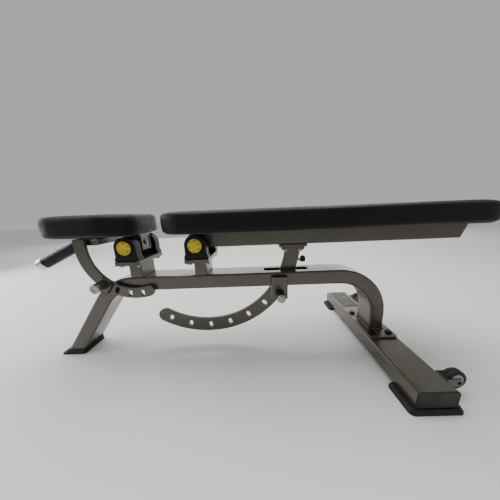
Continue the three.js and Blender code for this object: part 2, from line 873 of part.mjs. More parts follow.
/** Slotted arc that locks the backrest, with its bolting plate on top. */
function backArcPlate() {
  const half = arcThickness / 2;
  const band = prismAlongY(
    arcBand(0, backArcInnerRadius, backArcOuterRadius, 0, backArcTipAngle),
    -half,
    half,
    0,
    backArcSegments,
  );
  const above = block(
    [0, -half - cutMargin, lowerJointPlateTop - jointPlateThickness / 2],
    [backArcOuterRadius + cutMargin, half + cutMargin, pivotHeight + cutMargin],
  );
  const holes = Array.from({ length: backHoleCount }, (_, index) => (
    lockingHole(0, backHoleRadius, backHoleStart + index * backHoleStep, -half - cutMargin, half + cutMargin)
  ));
  const [tipX, tipDrop] = below(backArcTipHoleAngle).map((value) => value * backHoleRadius);
  const tipHole = barAlongY(
    backArcTipHoleRadius,
    tipX,
    pivotHeight + tipDrop,
    -half - cutMargin,
    half + cutMargin,
    boltSides,
  );
  const plate = jointPlate(lowerJointPlateLength, lowerJointPlateWidth, lowerJointPlateBottom);
  return cut(join(cut(band, above), plate), ...holes, tipHole, ...jointBoltHoles());
}

/** Flat seat arc on the near side, which runs up to the seat's cross tube. */
function seatArcPlate() {
  const near = -seatArcNearFace;
  const inside = near + arcThickness;
  const band = prismAlongY(
    arcBand(seatPivotX, seatArcInnerRadius, seatArcOuterRadius, Math.PI, seatArcTipAngle),
    near,
    inside,
    0,
    seatArcSegments,
  );
  const arm = block(
    [seatPivotX - seatArcOuterRadius, near, pivotHeight - weldOverlap],
    [seatPivotX - seatArcInnerRadius, inside, frameUnderside - seatBarThickness],
  );
  const holes = Array.from({ length: seatHoleCount }, (_, index) => (
    lockingHole(
      seatPivotX,
      seatHoleRadius,
      seatHoleStart + index * seatHoleStep,
      near - cutMargin,
      inside + cutMargin,
    )
  ));
  return cut(join(band, arm), ...holes);
}

addPiece('back_arc_plate', backArcPlate(), 'frame');
jointBoltPlaces().forEach(([x, y], index) => {
  const seat = lowerJointPlateBottom - touchGap;
  const tip = frameUnderside - backTubeSize - 1;
  addPiece(`arc_bolt_${index + 1}`, boltAlongZ(jointBoltRadius, x, y, seat, tip), 'steel');
});
addPiece('seat_arc_plate', seatArcPlate(), 'frame');

// ---------------------------------------------------------------- backrest tube and stop

/** Square backrest tube with a slanted, closed tail and the upper joint plate under it. */
function backTube() {
  const half = backTubeSize / 2;
  const bottom = frameUnderside - backTubeSize;
  const outline = (inset, front, rearCut) => {
    const shape = new THREE.Shape();
    shape.moveTo(front, bottom + inset);
    shape.lineTo(backTubeRear - rearCut, bottom + inset);
    shape.lineTo(backTubeRear + backTubeEndSlant - rearCut, frameUnderside - inset);
    shape.lineTo(front, frameUnderside - inset);
    shape.closePath();
    return shape;
  };
  const tube = prismAlongY(outline(0, backTubeFront, 0), -half, half);
  const hollow = prismAlongY(
    outline(backTubeWall, backTubeFront - cutMargin, backTubeWall),
    -half + backTubeWall,
    half - backTubeWall,
  );
  const plateTop = bottom + weldOverlap;
  const plate = jointPlate(upperJointPlateLength, upperJointPlateWidth, bottom - jointPlateThickness);
  const weld = block(
    [jointPlateCentreX - upperJointPlateLength / 2 + 4, -half + 1, bottom - jointPlateThickness / 2],
    [jointPlateCentreX + upperJointPlateLength / 2 - 4, half - 1, plateTop],
  );
  const shaftHole = barAlongY(shaftRadius + touchGap, 0, pivotHeight, -half - cutMargin, half + cutMargin);
  return cut(join(cut(tube, hollow), plate, weld), shaftHole, ...jointBoltHoles());
}

/** Rubber bumper on a short stud at the arc's outer edge. */
function stopBumper() {
  const drop = pivotHeight - bumperCentreHeight;
  const edgeX = Math.sqrt(backArcOuterRadius ** 2 - drop ** 2) + touchGap + bumperStandOff;
  const stud = new THREE.CylinderGeometry(bumperStudRadius, bumperStudRadius, bumperStudLength, boltSides);
  stud.rotateZ(Math.PI / 2);
  stud.translate(edgeX + bumperStudLength / 2, 0, bumperCentreHeight);
  const profile = [
    new THREE.Vector2(0, 0),
    new THREE.Vector2(bumperRadius, 0),
    new THREE.Vector2(bumperRadius, bumperHeight * 0.55),
    new THREE.Vector2(bumperRadius * 0.85, bumperHeight * 0.8),
    new THREE.Vector2(bumperRadius * 0.5, bumperHeight * 0.95),
    new THREE.Vector2(0, bumperHeight),
  ];
  const dome = new THREE.LatheGeometry(profile, boltSides);
  dome.rotateX(Math.PI / 2);
  dome.translate(edgeX + bumperStudLength + bumperRadius / 2, 0, bumperCentreHeight - bumperHeight / 3);
  return join(solidOf(stud), solidOf(dome));
}

addPiece('back_tube', backTube(), 'frame');
addPiece('stop_bumper', stopBumper(), 'rubber');

// ---------------------------------------------------------------- seat frame and handle

/** Places a geometry that runs along its own +Y from the handle's end up towards the seat. */
function alongHandle(geometry) {
  geometry.rotateZ(-Math.PI / 2);
  geometry.rotateX(Math.PI / 2);
  geometry.rotateY(-handleSlope);
  geometry.translate(handleEndX, 0, handleEndHeight);
  return geometry;
}

/** A round bar on the handle's axis between two distances from its lower end. */
function handleBar(radius, start, end) {
  const geometry = new THREE.CylinderGeometry(radius, radius, end - start, shaftSides);
  geometry.translate(0, (start + end) / 2, 0);
  return solidOf(alongHandle(geometry));
}

/** Welded seat frame: flat bar, pivot block, cross tube and handle tube. */
function seatFrame() {
  const barBottom = frameUnderside - seatBarThickness;
  const blockFront = seatPivotX - pivotBlockFront;
  const blockRear = seatPivotX + pivotBlockRear;
  const halfBlock = pivotBlockSize / 2;
  const blockBottom = frameUnderside - pivotBlockSize;
  const bar = block(
    [seatBarFront, -seatBarHalfWidth, barBottom],
    [blockRear, seatBarHalfWidth, frameUnderside],
  );
  const pivotBlock = block(
    [blockFront, -halfBlock, blockBottom],
    [blockRear, halfBlock, barBottom + weldOverlap],
  );
  const blockHollow = block(
    [blockFront - cutMargin, -halfBlock + pivotBlockWall, blockBottom + pivotBlockWall],
    [blockRear + cutMargin, halfBlock - pivotBlockWall, barBottom],
  );
  const armMiddle = seatPivotX - (seatArcInnerRadius + seatArcOuterRadius) / 2;
  const crossFront = armMiddle - crossTubeFront;
  const crossRear = armMiddle + crossTubeRear;
  const crossHalf = seatArcNearFace - arcThickness - touchGap;
  const crossTube = block(
    [crossFront, -crossHalf, barBottom - crossTubeHeight],
    [crossRear, crossHalf, barBottom + weldOverlap],
  );
  const crossHollow = block(
    [crossFront + crossTubeWall, -crossHalf - cutMargin, barBottom - crossTubeHeight + crossTubeWall],
    [crossRear - crossTubeWall, crossHalf + cutMargin, barBottom - crossTubeWall],
  );
  const handleRun = (crossFront + crossTubeWall - handleEndX) / Math.cos(handleSlope);
  const tubeStart = handleCapLength + touchGap;
  const handleTube = cut(
    handleBar(handleTubeRadius, tubeStart, handleRun),
    handleBar(handleTubeRadius - handleTubeWall, 0, handleRun - 2 * handleTubeRadius),
  );
  const shaftHole = barAlongY(
    shaftRadius + touchGap,
    seatPivotX,
    pivotHeight,
    -halfBlock - cutMargin,
    halfBlock + cutMargin,
  );
  const ceiling = block([handleEndX, -padHalfWidth, frameUnderside], [blockRear, padHalfWidth, padTop]);
  const welded = join(cut(pivotBlock, blockHollow), cut(join(crossTube, bar), crossHollow), handleTube);
  return cut(welded, shaftHole, ceiling);
}

/** Black sleeve on the handle tube. */
function handleGrip() {
  const start = handleCapLength + touchGap;
  const end = start + gripLength;
  return cut(
    handleBar(gripRadius, start, end),
    handleBar(handleTubeRadius + touchGap, start - cutMargin, end + cutMargin),
  );
}

/** Chrome end cap with a plug that sits in the handle tube. */
function handleCap() {
  const rim = 2.5;
  const plugRadius = handleTubeRadius - handleTubeWall - touchGap;
  const profile = [
    new THREE.Vector2(0, 0),
    new THREE.Vector2(handleCapRadius - rim, 0),
    new THREE.Vector2(handleCapRadius, rim),
    new THREE.Vector2(handleCapRadius, handleCapLength),
    new THREE.Vector2(plugRadius, handleCapLength),
    new THREE.Vector2(plugRadius, handleCapLength + handleCapPlugLength),
    new THREE.Vector2(0, handleCapLength + handleCapPlugLength),
  ];
  return solidOf(alongHandle(new THREE.LatheGeometry(profile, shaftSides)));
}

addPiece('seat_frame', seatFrame(), 'frame');
addPiece('handle_grip', handleGrip(), 'rubber');
addPiece('handle_cap', handleCap(), 'chrome');

// ---------------------------------------------------------------- spring pins

/** Centre line of a coil spring along -Y. */
class CoilLine extends THREE.Curve {
  constructor(radius, x, z, startY, endY, turns) {
    super();
    Object.assign(this, { radius, x, z, startY, endY, turns });
  }

  getPoint(t, target = new THREE.Vector3()) {
    const angle = 2 * Math.PI * this.turns * t;
    return target.set(
      this.x + this.radius * Math.cos(angle),
      THREE.MathUtils.lerp(this.startY, this.endY, t),
      this.z + this.radius * Math.sin(angle),
    );
  }
}

/** Coil spring between two places on a pin's axis. */
function pinSpring(x, z, startY, endY, turns) {
  const wire = new THREE.Shape();
  wire.absarc(0, 0, springWireRadius, 0, 2 * Math.PI);
  const geometry = new THREE.ExtrudeGeometry(wire, {
    curveSegments: cornerSegments,
    steps: turns * springSteps,
    extrudePath: new CoilLine(springCoilRadius, x, z, startY, endY, turns),
  });
  return solidOf(geometry);
}

/** Places along one pin's axis, from the arc's near face outwards. */
function pinLayout(arcFace, guideLength, barrelLength) {
  const mouth = arcFace - pinBarrelGap;
  const end = mouth - barrelLength;
  return {
    tip: arcFace - pinTipGap,
    mouth,
    end,
    chamberStart: mouth - guideLength,
    chamberEnd: end + barrelEndWall,
    collarStart: mouth - guideLength - touchGap,
    collarEnd: mouth - guideLength - touchGap - pinCollarLength,
  };
}

/** Barrel of a spring pin: a guide bore, a spring chamber and an end wall with a hole for the stem. */
function pinBarrelCutters(x, z, barrelRadius, layout) {
  return [
    barAlongY(pinRadius + runningGap, x, z, layout.chamberStart - weldOverlap, layout.mouth + cutMargin),
    barAlongY(barrelRadius - barrelWall, x, z, layout.chamberEnd, layout.chamberStart),
    barAlongY(pinStemRadius + runningGap, x, z, layout.end - cutMargin, layout.chamberEnd + weldOverlap),
  ];
}

/** Sliding pin with its collar and a stem that ends at `stemEnd`. */
function plunger(x, z, layout, stemEnd) {
  return join(
    barAlongY(pinRadius, x, z, layout.collarStart - weldOverlap, layout.tip),
    barAlongY(pinCollarRadius, x, z, layout.collarEnd, layout.collarStart),
    barAlongY(pinStemRadius, x, z, stemEnd, layout.collarEnd + weldOverlap),
  );
}

/** Pocket-shaped bracket on the beam's near side with the backrest pin's barrel through it. */
function backPinBracket(layout) {
  const halfWidth = backBracketWidth / 2;
  const inner = -halfTubeWidth - touchGap;
  const outer = inner - backBracketDepth;
  const bottom = backPinHeight - backBracketDrop;
  const shell = prismAlongZ(
    roundedRectangle(backPinX - halfWidth, backPinX + halfWidth, outer, inner, 4),
    bottom,
    backBracketTop,
  );
  const pocket = block(
    [
      backPinX - halfWidth + backBracketThickness,
      outer + backBracketThickness,
      bottom + backBracketThickness,
    ],
    [backPinX + halfWidth - backBracketThickness, inner + cutMargin, backBracketTop + cutMargin],
  );
  const barrel = barAlongY(backBarrelRadius, backPinX, backPinHeight, layout.end, layout.mouth);
  const cutters = pinBarrelCutters(backPinX, backPinHeight, backBarrelRadius, layout);
  return cut(join(cut(shell, pocket), barrel), ...cutters);
}

/** Ball knob on the backrest pin's stem. */
function backKnob(layout) {
  const centreY = layout.end - touchGap - backKnobRadius;
  const ball = new THREE.SphereGeometry(backKnobRadius, 12, 8);
  ball.translate(backPinX, centreY, backPinHeight);
  const socket = barAlongY(
    pinStemRadius + touchGap,
    backPinX,
    backPinHeight,
    centreY - touchGap,
    centreY + backKnobRadius + cutMargin,
  );
  return cut(solidOf(ball), socket);
}

/** Hook-shaped bracket that holds the seat pin's barrel in front of the seat arc. */
function seatPinBracket(layout) {
  const [dx, dz] = below(seatHoleStart);
  const plateInner = layout.mouth;
  const plateOuter = plateInner - seatBracketThickness;
  const webInner = seatArcOuterRadius - seatHoleRadius + seatBracketWebGap;
  const webOuter = webInner + seatBracketThickness;
  const radialBlock = (start, end, y0, y1) => {
    const geometry = new THREE.BoxGeometry(end - start, y1 - y0, seatBracketWidth);
    geometry.translate((start + end) / 2, (y0 + y1) / 2, 0);
    geometry.rotateY(Math.atan2(-dz, dx));
    geometry.translate(seatPinX, 0, seatPinHeight);
    return solidOf(geometry);
  };
  const plate = radialBlock(-seatBracketInnerReach, webOuter, plateOuter, plateInner);
  const web = radialBlock(webInner, webOuter, plateOuter, -halfTubeWidth - touchGap);
  const barrel = barAlongY(seatBarrelRadius, seatPinX, seatPinHeight, layout.end, layout.mouth);
  const cutters = pinBarrelCutters(seatPinX, seatPinHeight, seatBarrelRadius, layout);
  return cut(join(plate, web, barrel), ...cutters);
}

/** Seat pin with the dished pull button that is turned on its stem. */
function seatPlunger(layout) {
  const inner = layout.end - touchGap;
  const outer = inner - seatKnobLength;
  const button = barAlongY(seatKnobRadius, seatPinX, seatPinHeight, outer, inner);
  const dish = barAlongY(
    seatKnobDishRadius,
    seatPinX,
    seatPinHeight,
    outer - cutMargin,
    outer + seatKnobDishDepth,
  );
  return cut(join(plunger(seatPinX, seatPinHeight, layout, inner - weldOverlap), button), dish);
}

const backPin = pinLayout(-arcThickness / 2, backGuideLength, backBarrelLength);
addPiece('back_pin_bracket', backPinBracket(backPin), 'frame');
addPiece('back_pin', plunger(backPinX, backPinHeight, backPin, backPin.end - backKnobRadius), 'steel');
addPiece('back_pin_knob', backKnob(backPin), 'palePlastic');
addPiece('back_pin_spring', pinSpring(
  backPinX,
  backPinHeight,
  backPin.collarEnd - springWireRadius - touchGap,
  backPin.chamberEnd + springWireRadius + touchGap,
  backSpringTurns,
), 'steel');

const seatPin = pinLayout(-seatArcNearFace, seatGuideLength, seatBarrelLength);
addPiece('seat_pin_bracket', seatPinBracket(seatPin), 'frame');
addPiece('seat_pin', seatPlunger(seatPin), 'steel');
addPiece('seat_pin_spring', pinSpring(
  seatPinX,
  seatPinHeight,
  seatPin.collarEnd - springWireRadius - touchGap,
  seatPin.chamberEnd + springWireRadius + touchGap,
  seatSpringTurns,
), 'steel');

// ---------------------------------------------------------------- transport wheels

/** Fork behind the crossbar with the wheel's axle across it. */
function wheelBracket(side) {
  const backX = uprightX + baseWidth / 2 + touchGap;
  const innerY = wheelWidth / 2 + wheelSideGap;
  const outerY = innerY + wheelPlateThickness;
  const middle = side * wheelCentreY;
  const cheek = (end) => {
    const shape = new THREE.Shape();
    shape.moveTo(backX, wheelCentreHeight - wheelCheekHeight / 2);
    shape.absarc(wheelCentreX, wheelCentreHeight, wheelCheekHeight / 2, -Math.PI / 2, Math.PI / 2, false);
    shape.lineTo(backX, wheelCentreHeight + wheelCheekHeight / 2);
    shape.closePath();
    const low = end > 0 ? innerY : -outerY;
    return prismAlongY(shape, middle + low, middle + low + wheelPlateThickness, 0, bendSegments);
  };
  const back = block(
    [backX, middle - outerY, wheelCentreHeight - wheelCheekHeight / 2],
    [backX + wheelPlateThickness - weldOverlap, middle + outerY, wheelCentreHeight + wheelCheekHeight / 2],
  );
  const axle = barAlongY(
    wheelHubBoreRadius - runningGap,
    wheelCentreX,
    wheelCentreHeight,
    middle - outerY,
    middle + outerY,
  );
  return join(back, cheek(-1), cheek(1), axle);
}

/** Turned ring around a wheel's axis; the profile pairs are radius and place along the axis. */
function turnedAroundY(profile, x, y, z) {
  const points = profile.map(([radius, place]) => new THREE.Vector2(radius, place));
  points.push(points[0].clone());
  const geometry = new THREE.LatheGeometry(points, wheelSides);
  geometry.translate(x, y, z);
  return solidOf(geometry);
}

/** Rubber tyre with rounded shoulders. */
function wheelTyre(side) {
  const half = wheelWidth / 2;
  return turnedAroundY([
    [wheelHubRadius + touchGap, -half],
    [wheelRadius - wheelShoulder, -half],
    [wheelRadius, -half + wheelShoulder],
    [wheelRadius, half - wheelShoulder],
    [wheelRadius - wheelShoulder, half],
    [wheelHubRadius + touchGap, half],
  ], wheelCentreX, side * wheelCentreY, wheelCentreHeight);
}

/** Plastic hub: a rim, a thin web and a boss around the bore. */
function wheelHub(side) {
  const half = wheelWidth / 2;
  const boss = wheelHubBoreRadius + wheelHubBossWall;
  const rim = wheelHubRadius - wheelHubRim;
  const web = wheelHubHalfWeb;
  return turnedAroundY([
    [wheelHubBoreRadius, -half],
    [boss, -half],
    [boss, -web],
    [rim, -web],
    [rim, -half],
    [wheelHubRadius, -half],
    [wheelHubRadius, half],
    [rim, half],
    [rim, web],
    [boss, web],
    [boss, half],
    [wheelHubBoreRadius, half],
  ], wheelCentreX, side * wheelCentreY, wheelCentreHeight);
}

for (const [label, side] of sides) {
  addPiece(`wheel_bracket_${label}`, wheelBracket(side), 'frame');
  addPiece(`wheel_tyre_${label}`, wheelTyre(side), 'rubber');
  addPiece(`wheel_hub_${label}`, wheelHub(side), 'palePlastic');
}

// ---------------------------------------------------------------- place the bench

// The origin is on the floor in the middle of the bench's length and width.
const extent = new THREE.Box3().setFromObject(bench);
bench.position.x = -(extent.min.x + extent.max.x) / 2;
bench.updateMatrixWorld(true);

export default bench;
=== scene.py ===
"""Looks of the adjustable weight bench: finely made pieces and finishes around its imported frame."""

import logging
import math
from dataclasses import dataclass
from enum import Enum
from typing import Callable, Iterable, Optional, Sequence

import bmesh
import bpy
from mathutils import Matrix, Vector


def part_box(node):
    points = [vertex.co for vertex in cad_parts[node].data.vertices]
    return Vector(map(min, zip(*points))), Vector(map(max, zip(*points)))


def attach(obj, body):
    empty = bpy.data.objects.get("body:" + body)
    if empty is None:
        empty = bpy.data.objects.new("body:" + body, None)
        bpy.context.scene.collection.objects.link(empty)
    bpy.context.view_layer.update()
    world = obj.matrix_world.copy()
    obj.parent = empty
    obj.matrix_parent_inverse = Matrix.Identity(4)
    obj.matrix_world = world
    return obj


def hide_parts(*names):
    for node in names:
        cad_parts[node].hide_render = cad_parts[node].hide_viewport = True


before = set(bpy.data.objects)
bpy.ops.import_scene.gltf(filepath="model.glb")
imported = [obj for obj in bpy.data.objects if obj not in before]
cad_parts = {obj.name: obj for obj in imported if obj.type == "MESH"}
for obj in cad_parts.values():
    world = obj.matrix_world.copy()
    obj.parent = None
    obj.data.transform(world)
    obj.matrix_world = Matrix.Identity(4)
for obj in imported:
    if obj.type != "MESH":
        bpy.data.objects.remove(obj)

LOG = logging.getLogger("weight_bench")
MM = 0.001  # metres in a millimetre
POLE = 0.02  # radius that stands for a point on a turning axis
WELD_RIPPLE = 0.16  # swelling of a weld bead, as a share of its radius
SLOT = (21.0, 12.4)  # length and width of a locking slot

Pair = tuple[float, float]
Triple = tuple[float, float, float]
Outline = list[Pair]
Colour = Triple
Socket = bpy.types.NodeSocket
Node = bpy.types.Node
Tree = bpy.types.NodeTree
Item = bpy.types.Object


class Body(Enum):
    """Moving parts of the bench, by their names in the frame."""

    FRAME = "frame"
    BACKREST = "backrest"
    SEAT = "seat"
    BACK_PIN = "back_pull_pin"
    SEAT_PIN = "seat_pull_pin"
    WHEEL_NEAR = "wheel_near"
    WHEEL_FAR = "wheel_far"


class Slot(Enum):
    """Material slots of the record."""

    FRAME_PAINT = "frame_paint"
    SHOE_RUBBER = "shoe_rubber"
    BLACK_PLASTIC = "black_plastic"
    YELLOW_PLASTIC = "yellow_plastic"
    ZINC_STEEL = "zinc_steel"
    GRIP_PATCH = "grip_patch"
    PAD_VINYL = "pad_vinyl"
    PLYWOOD = "plywood"
    HANDLE_RUBBER = "handle_rubber"
    CHROME = "chrome"
    PALE_PLASTIC = "pale_plastic"
    TYRE_RUBBER = "tyre_rubber"


class Plane(Enum):
    """The plane in which a flat outline is drawn."""

    XY = "xy"
    XZ = "xz"


def stand(name: str, data: bpy.types.ID) -> Item:
    """Puts data on a new object of the scene."""
    holder = bpy.data.objects.new(name, data)
    bpy.context.scene.collection.objects.link(holder)
    return holder


# ---- outlines, in millimetres


def arc_points(centre: Pair, radius: float, start: float, end: float, steps: int) -> Outline:
    """Points on a circle's arc, both ends included.

    Args:
        centre: Centre of the arc.
        radius: Its radius.
        start: Angle of the first point, in radians.
        end: Angle of the last point, in radians.
        steps: Number of equal steps.

    Returns:
        The points in order.
    """
    turns = [start + (end - start) * step / steps for step in range(steps + 1)]
    return [(centre[0] + radius * math.cos(turn), centre[1] + radius * math.sin(turn)) for turn in turns]


def circle(centre: Pair, radius: float, steps: int = 32) -> Outline:
    """Points round a full circle."""
    return arc_points(centre, radius, 0, 2 * math.pi, steps)[:-1]


def rounded_rectangle(
    low: Pair, high: Pair, radii: Pair, steps: int = 6
) -> Outline:
    """A rectangle with rounded corners, anticlockwise.

    Args:
        low: Lower left corner.
        high: Upper right corner.
        radii: Corner radius at the low end and at the high end of the first axis.
        steps: Steps in each corner.

    Returns:
        The outline's points.
    """
    first, last = radii
    quarter = math.pi / 2
    corners = [
        ((high[0] - last, low[1] + last), last, -quarter), ((high[0] - last, high[1] - last), last, 0.0),
        ((low[0] + first, high[1] - first), first, quarter),
        ((low[0] + first, low[1] + first), first, 2 * quarter),
    ]
    points: Outline = []
    for centre, radius, start in corners:
        points += arc_points(centre, radius, start, start + quarter, steps)
    return points


def oblong(x: float, half_x: float, half_y: float, radius: float, steps: int = 6) -> Outline:
    """A rounded rectangle centred on the bench's middle plane, at a place along it."""
    return rounded_rectangle((x - half_x, -half_y), (x + half_x, half_y), (radius, radius), steps)


def level_loop(outline: Outline, z: float) -> list[Vector]:
    """An outline in X and Y, set at a height."""
    return [Vector((x, y, z)) for x, y in outline]


def upright_loop(outline: Outline, y: float) -> list[Vector]:
    """An outline in X and Z, set at a place across the bench."""
    return [Vector((x, y, z)) for x, z in outline]


def mirrored(profile: Outline) -> Outline:
    """A turned profile followed by its mirror image."""
    return profile + [(radius, -height) for radius, height in reversed(profile)]


def slot_outline(centre: Pair, length: float, width: float, angle: float) -> Outline:
    """A slot with round ends.

    Args:
        centre: Middle of the slot.
        length: Overall length.
        width: Width, which is the diameter of its ends.
        angle: Direction of its length, in radians.

    Returns:
        The outline's points.
    """
    half = (length - width) / 2
    points: Outline = []
    for sign in (1, -1):
        end = (centre[0] + sign * half * math.cos(angle), centre[1] + sign * half * math.sin(angle))
        start = angle - math.pi / 2 + (0 if sign > 0 else math.pi)
        points += arc_points(end, width / 2, start, start + math.pi, 10)
    return points


def aim(origin: Sequence[float], direction: Sequence[float]) -> Matrix:
    """A placing matrix that turns local +Z to a direction, with its origin in millimetres."""
    turn = Vector(direction).to_track_quat("Z", "Y").to_matrix().to_4x4()
    return Matrix.Translation(Vector(origin)) @ turn


# ---- solids


class Solid:
    """A mesh under construction, in millimetres."""

    def __init__(self) -> None:
        """Starts with an empty mesh."""
        self.mesh = bmesh.new()

    def loft(self, loops: Sequence[Sequence[Vector]], closed: bool = False) -> "Solid":
        """Joins loops of equal length by side faces.

        Args:
            loops: The loops in order.
            closed: True if the last loop joins the first one, and False if both ends are capped.

        Returns:
            This solid.
        """
        rings = [[self.mesh.verts.new(point) for point in loop] for loop in loops]
        count = len(rings[0])
        pairs = list(zip(rings, rings[1:] + rings[:1])) if closed else list(zip(rings, rings[1:]))
        for ring, following in pairs:
            for index in range(count):
                after = (index + 1) % count
                self.mesh.faces.new((ring[index], ring[after], following[after], following[index]))
        if not closed:
            self.mesh.faces.new(list(reversed(rings[0])))
            self.mesh.faces.new(rings[-1])
        return self

    def turned(self, profile: Outline, place: Matrix, closed: bool = False, steps: int = 48) -> "Solid":
        """A turned solid.

        Args:
            profile: Pairs of radius and height along the axis.
            place: Where its axis stands.
            closed: True if the profile is a closed ring that stays off the axis.
            steps: Sides of the circle.

        Returns:
            This solid.
        """
        loops = [
            [place @ Vector((x, y, height)) for x, y in circle((0, 0), max(radius, POLE), steps)]
            for radius, height in profile
        ]
        return self.loft(loops, closed)

    def bar(
        self, radius: float, start: Sequence[float], end: Sequence[float], chamfer: float = 0.6
    ) -> "Solid":
        """A round bar with chamfered ends between two points."""
        first, last = Vector(start), Vector(end)
        length = (last - first).length
        profile = [
            (radius - chamfer, 0), (radius - chamfer * 0.3, chamfer * 0.3), (radius, chamfer),
            (radius, length - chamfer), (radius - chamfer * 0.3, length - chamfer * 0.3),
            (radius - chamfer, length),
        ]
        return self.turned(profile, aim(first, last - first), steps=40)

    def plate(
        self, outline: Outline, low: float, high: float,
        rim: float = 1.0, plane: Plane = Plane.XY, holes: Sequence[Outline] = (),
    ) -> "Solid":
        """A flat plate with rounded rims.

        Args:
            outline: Its outer outline.
            low: Where it starts on the axis across its plane.
            high: Where it ends.
            rim: Radius of its rims.
            plane: The plane of the outline.
            holes: Outlines of its holes.

        Returns:
            This solid.
        """
        curve = bpy.data.curves.new("plate_outline", "CURVE")
        curve.dimensions = "2D"
        curve.fill_mode = "BOTH"
        for loop in [outline, *holes]:
            spline = curve.splines.new("POLY")
            spline.points.add(len(loop) - 1)
            for point, (first, second) in zip(spline.points, loop):
                point.co = (first, second, 0, 1)
            spline.use_cyclic_u = True
        curve.extrude = (high - low) / 2 - rim
        curve.bevel_depth = rim
        curve.bevel_resolution = 2
        curve.offset = -rim
        holder = stand("plate_outline", curve)
        graph = bpy.context.evaluated_depsgraph_get()
        made = bpy.data.meshes.new_from_object(holder.evaluated_get(graph))
        bpy.data.objects.remove(holder)
        bpy.data.curves.remove(curve)
        middle = (low + high) / 2
        if plane is Plane.XY:
            place = Matrix.Translation((0, 0, middle))
        else:
            place = Matrix(((1, 0, 0, 0), (0, 0, -1, middle), (0, 1, 0, 0), (0, 0, 0, 1)))
        made.transform(place)
        self.mesh.from_mesh(made)
        bpy.data.meshes.remove(made)
        bmesh.ops.remove_doubles(self.mesh, verts=self.mesh.verts, dist=1e-4)
        return self

    def box(self, low: Sequence[float], high: Sequence[float], rim: float = 1.0) -> "Solid":
        """A block with rounded upright edges and rims."""
        radius = min(rim * 1.5, (high[0] - low[0]) / 2.1, (high[1] - low[1]) / 2.1)
        outline = rounded_rectangle((low[0], low[1]), (high[0], high[1]), (radius, radius), 3)
        return self.plate(outline, low[2], high[2], rim)

    def cord(
        self, points: Sequence[Vector], radius: float,
        closed: bool = False, ripple: float = 0.0, steps: int = 8,
    ) -> "Solid":
        """A round cord along points, such as a weld bead, a wire or a seam.

        Args:
            points: Its centre line.
            radius: Its radius.
            closed: True if the line is a closed loop.
            ripple: How much the radius swells and shrinks from point to point, as a share.
            steps: Sides of its section.

        Returns:
            This solid.
        """
        loops = []
        count = len(points)
        previous: Optional[Vector] = None
        for index, point in enumerate(points):
            before = points[index - 1] if closed or index > 0 else point
            after = points[(index + 1) % count] if closed or index < count - 1 else point
            along = (after - before).normalized()
            guide = previous if previous is not None else along.orthogonal()
            side = (guide - along * guide.dot(along)).normalized()
            previous = side
            across = along.cross(side)
            size = radius * (1 + ripple * math.sin(index * 2.2))
            loops.append(
                [
                    point + size * (math.cos(turn) * side + math.sin(turn) * across)
                    for turn in (2 * math.pi * step / steps for step in range(steps))
                ]
            )
        return self.loft(loops, closed)

    def moved(self, place: Matrix) -> "Solid":
        """Moves everything made so far."""
        bmesh.ops.transform(self.mesh, matrix=place, verts=self.mesh.verts)
        return self

    def join(self, other: "Solid") -> "Solid":
        """Adds another solid's mesh to this one."""
        data = other.to_mesh("joined")
        self.mesh.from_mesh(data)
        bpy.data.meshes.remove(data)
        return self

    def cut(self, *tools: "Solid") -> "Solid":
        """Cuts other solids out of this one."""
        body = self._loose_object("cut_body")
        cutters = []
        for tool in tools:
            cutter = tool._loose_object("cutter")
            step = body.modifiers.new("cut", "BOOLEAN")
            step.operation = "DIFFERENCE"
            step.solver = "EXACT"
            step.object = cutter
            cutters.append(cutter)
        graph = bpy.context.evaluated_depsgraph_get()
        made = bpy.data.meshes.new_from_object(body.evaluated_get(graph))
        self.mesh = bmesh.new()
        self.mesh.from_mesh(made)
        for holder in [body, *cutters]:
            bpy.data.objects.remove(holder)
        bpy.data.meshes.remove(made)
        return self

    def _loose_object(self, name: str) -> Item:
        """Puts the mesh on a passing object and empties this solid."""
        holder = stand(name, self.to_mesh(name))
        bpy.context.view_layer.update()
        return holder

    def to_mesh(self, name: str) -> bpy.types.Mesh:
        """Ends the construction and gives the mesh, still in millimetres."""
        bmesh.ops.recalc_face_normals(self.mesh, faces=self.mesh.faces)
        data = bpy.data.meshes.new(name)
        self.mesh.to_mesh(data)
        self.mesh.free()
        return data


def swept_section(path: Outline, headings: Sequence[float], section: Outline) -> list[list[Vector]]:
    """Loops of a section that follows a path in the X and Z plane.

    Args:
        path: Centres, as X and Z.
        headings: Direction of travel at each centre, in radians above +X.
        section: Section, drawn as distance along Y and distance to the left of travel.

    Returns:
        One loop for each centre.
    """
    loops = []
    for (x, z), heading in zip(path, headings):
        left = (-math.sin(heading), math.cos(heading))
        loops.append([Vector((x + across * left[0], side, z + across * left[1])) for side, across in section])
    return loops


# ---- shader sheets and shared effects


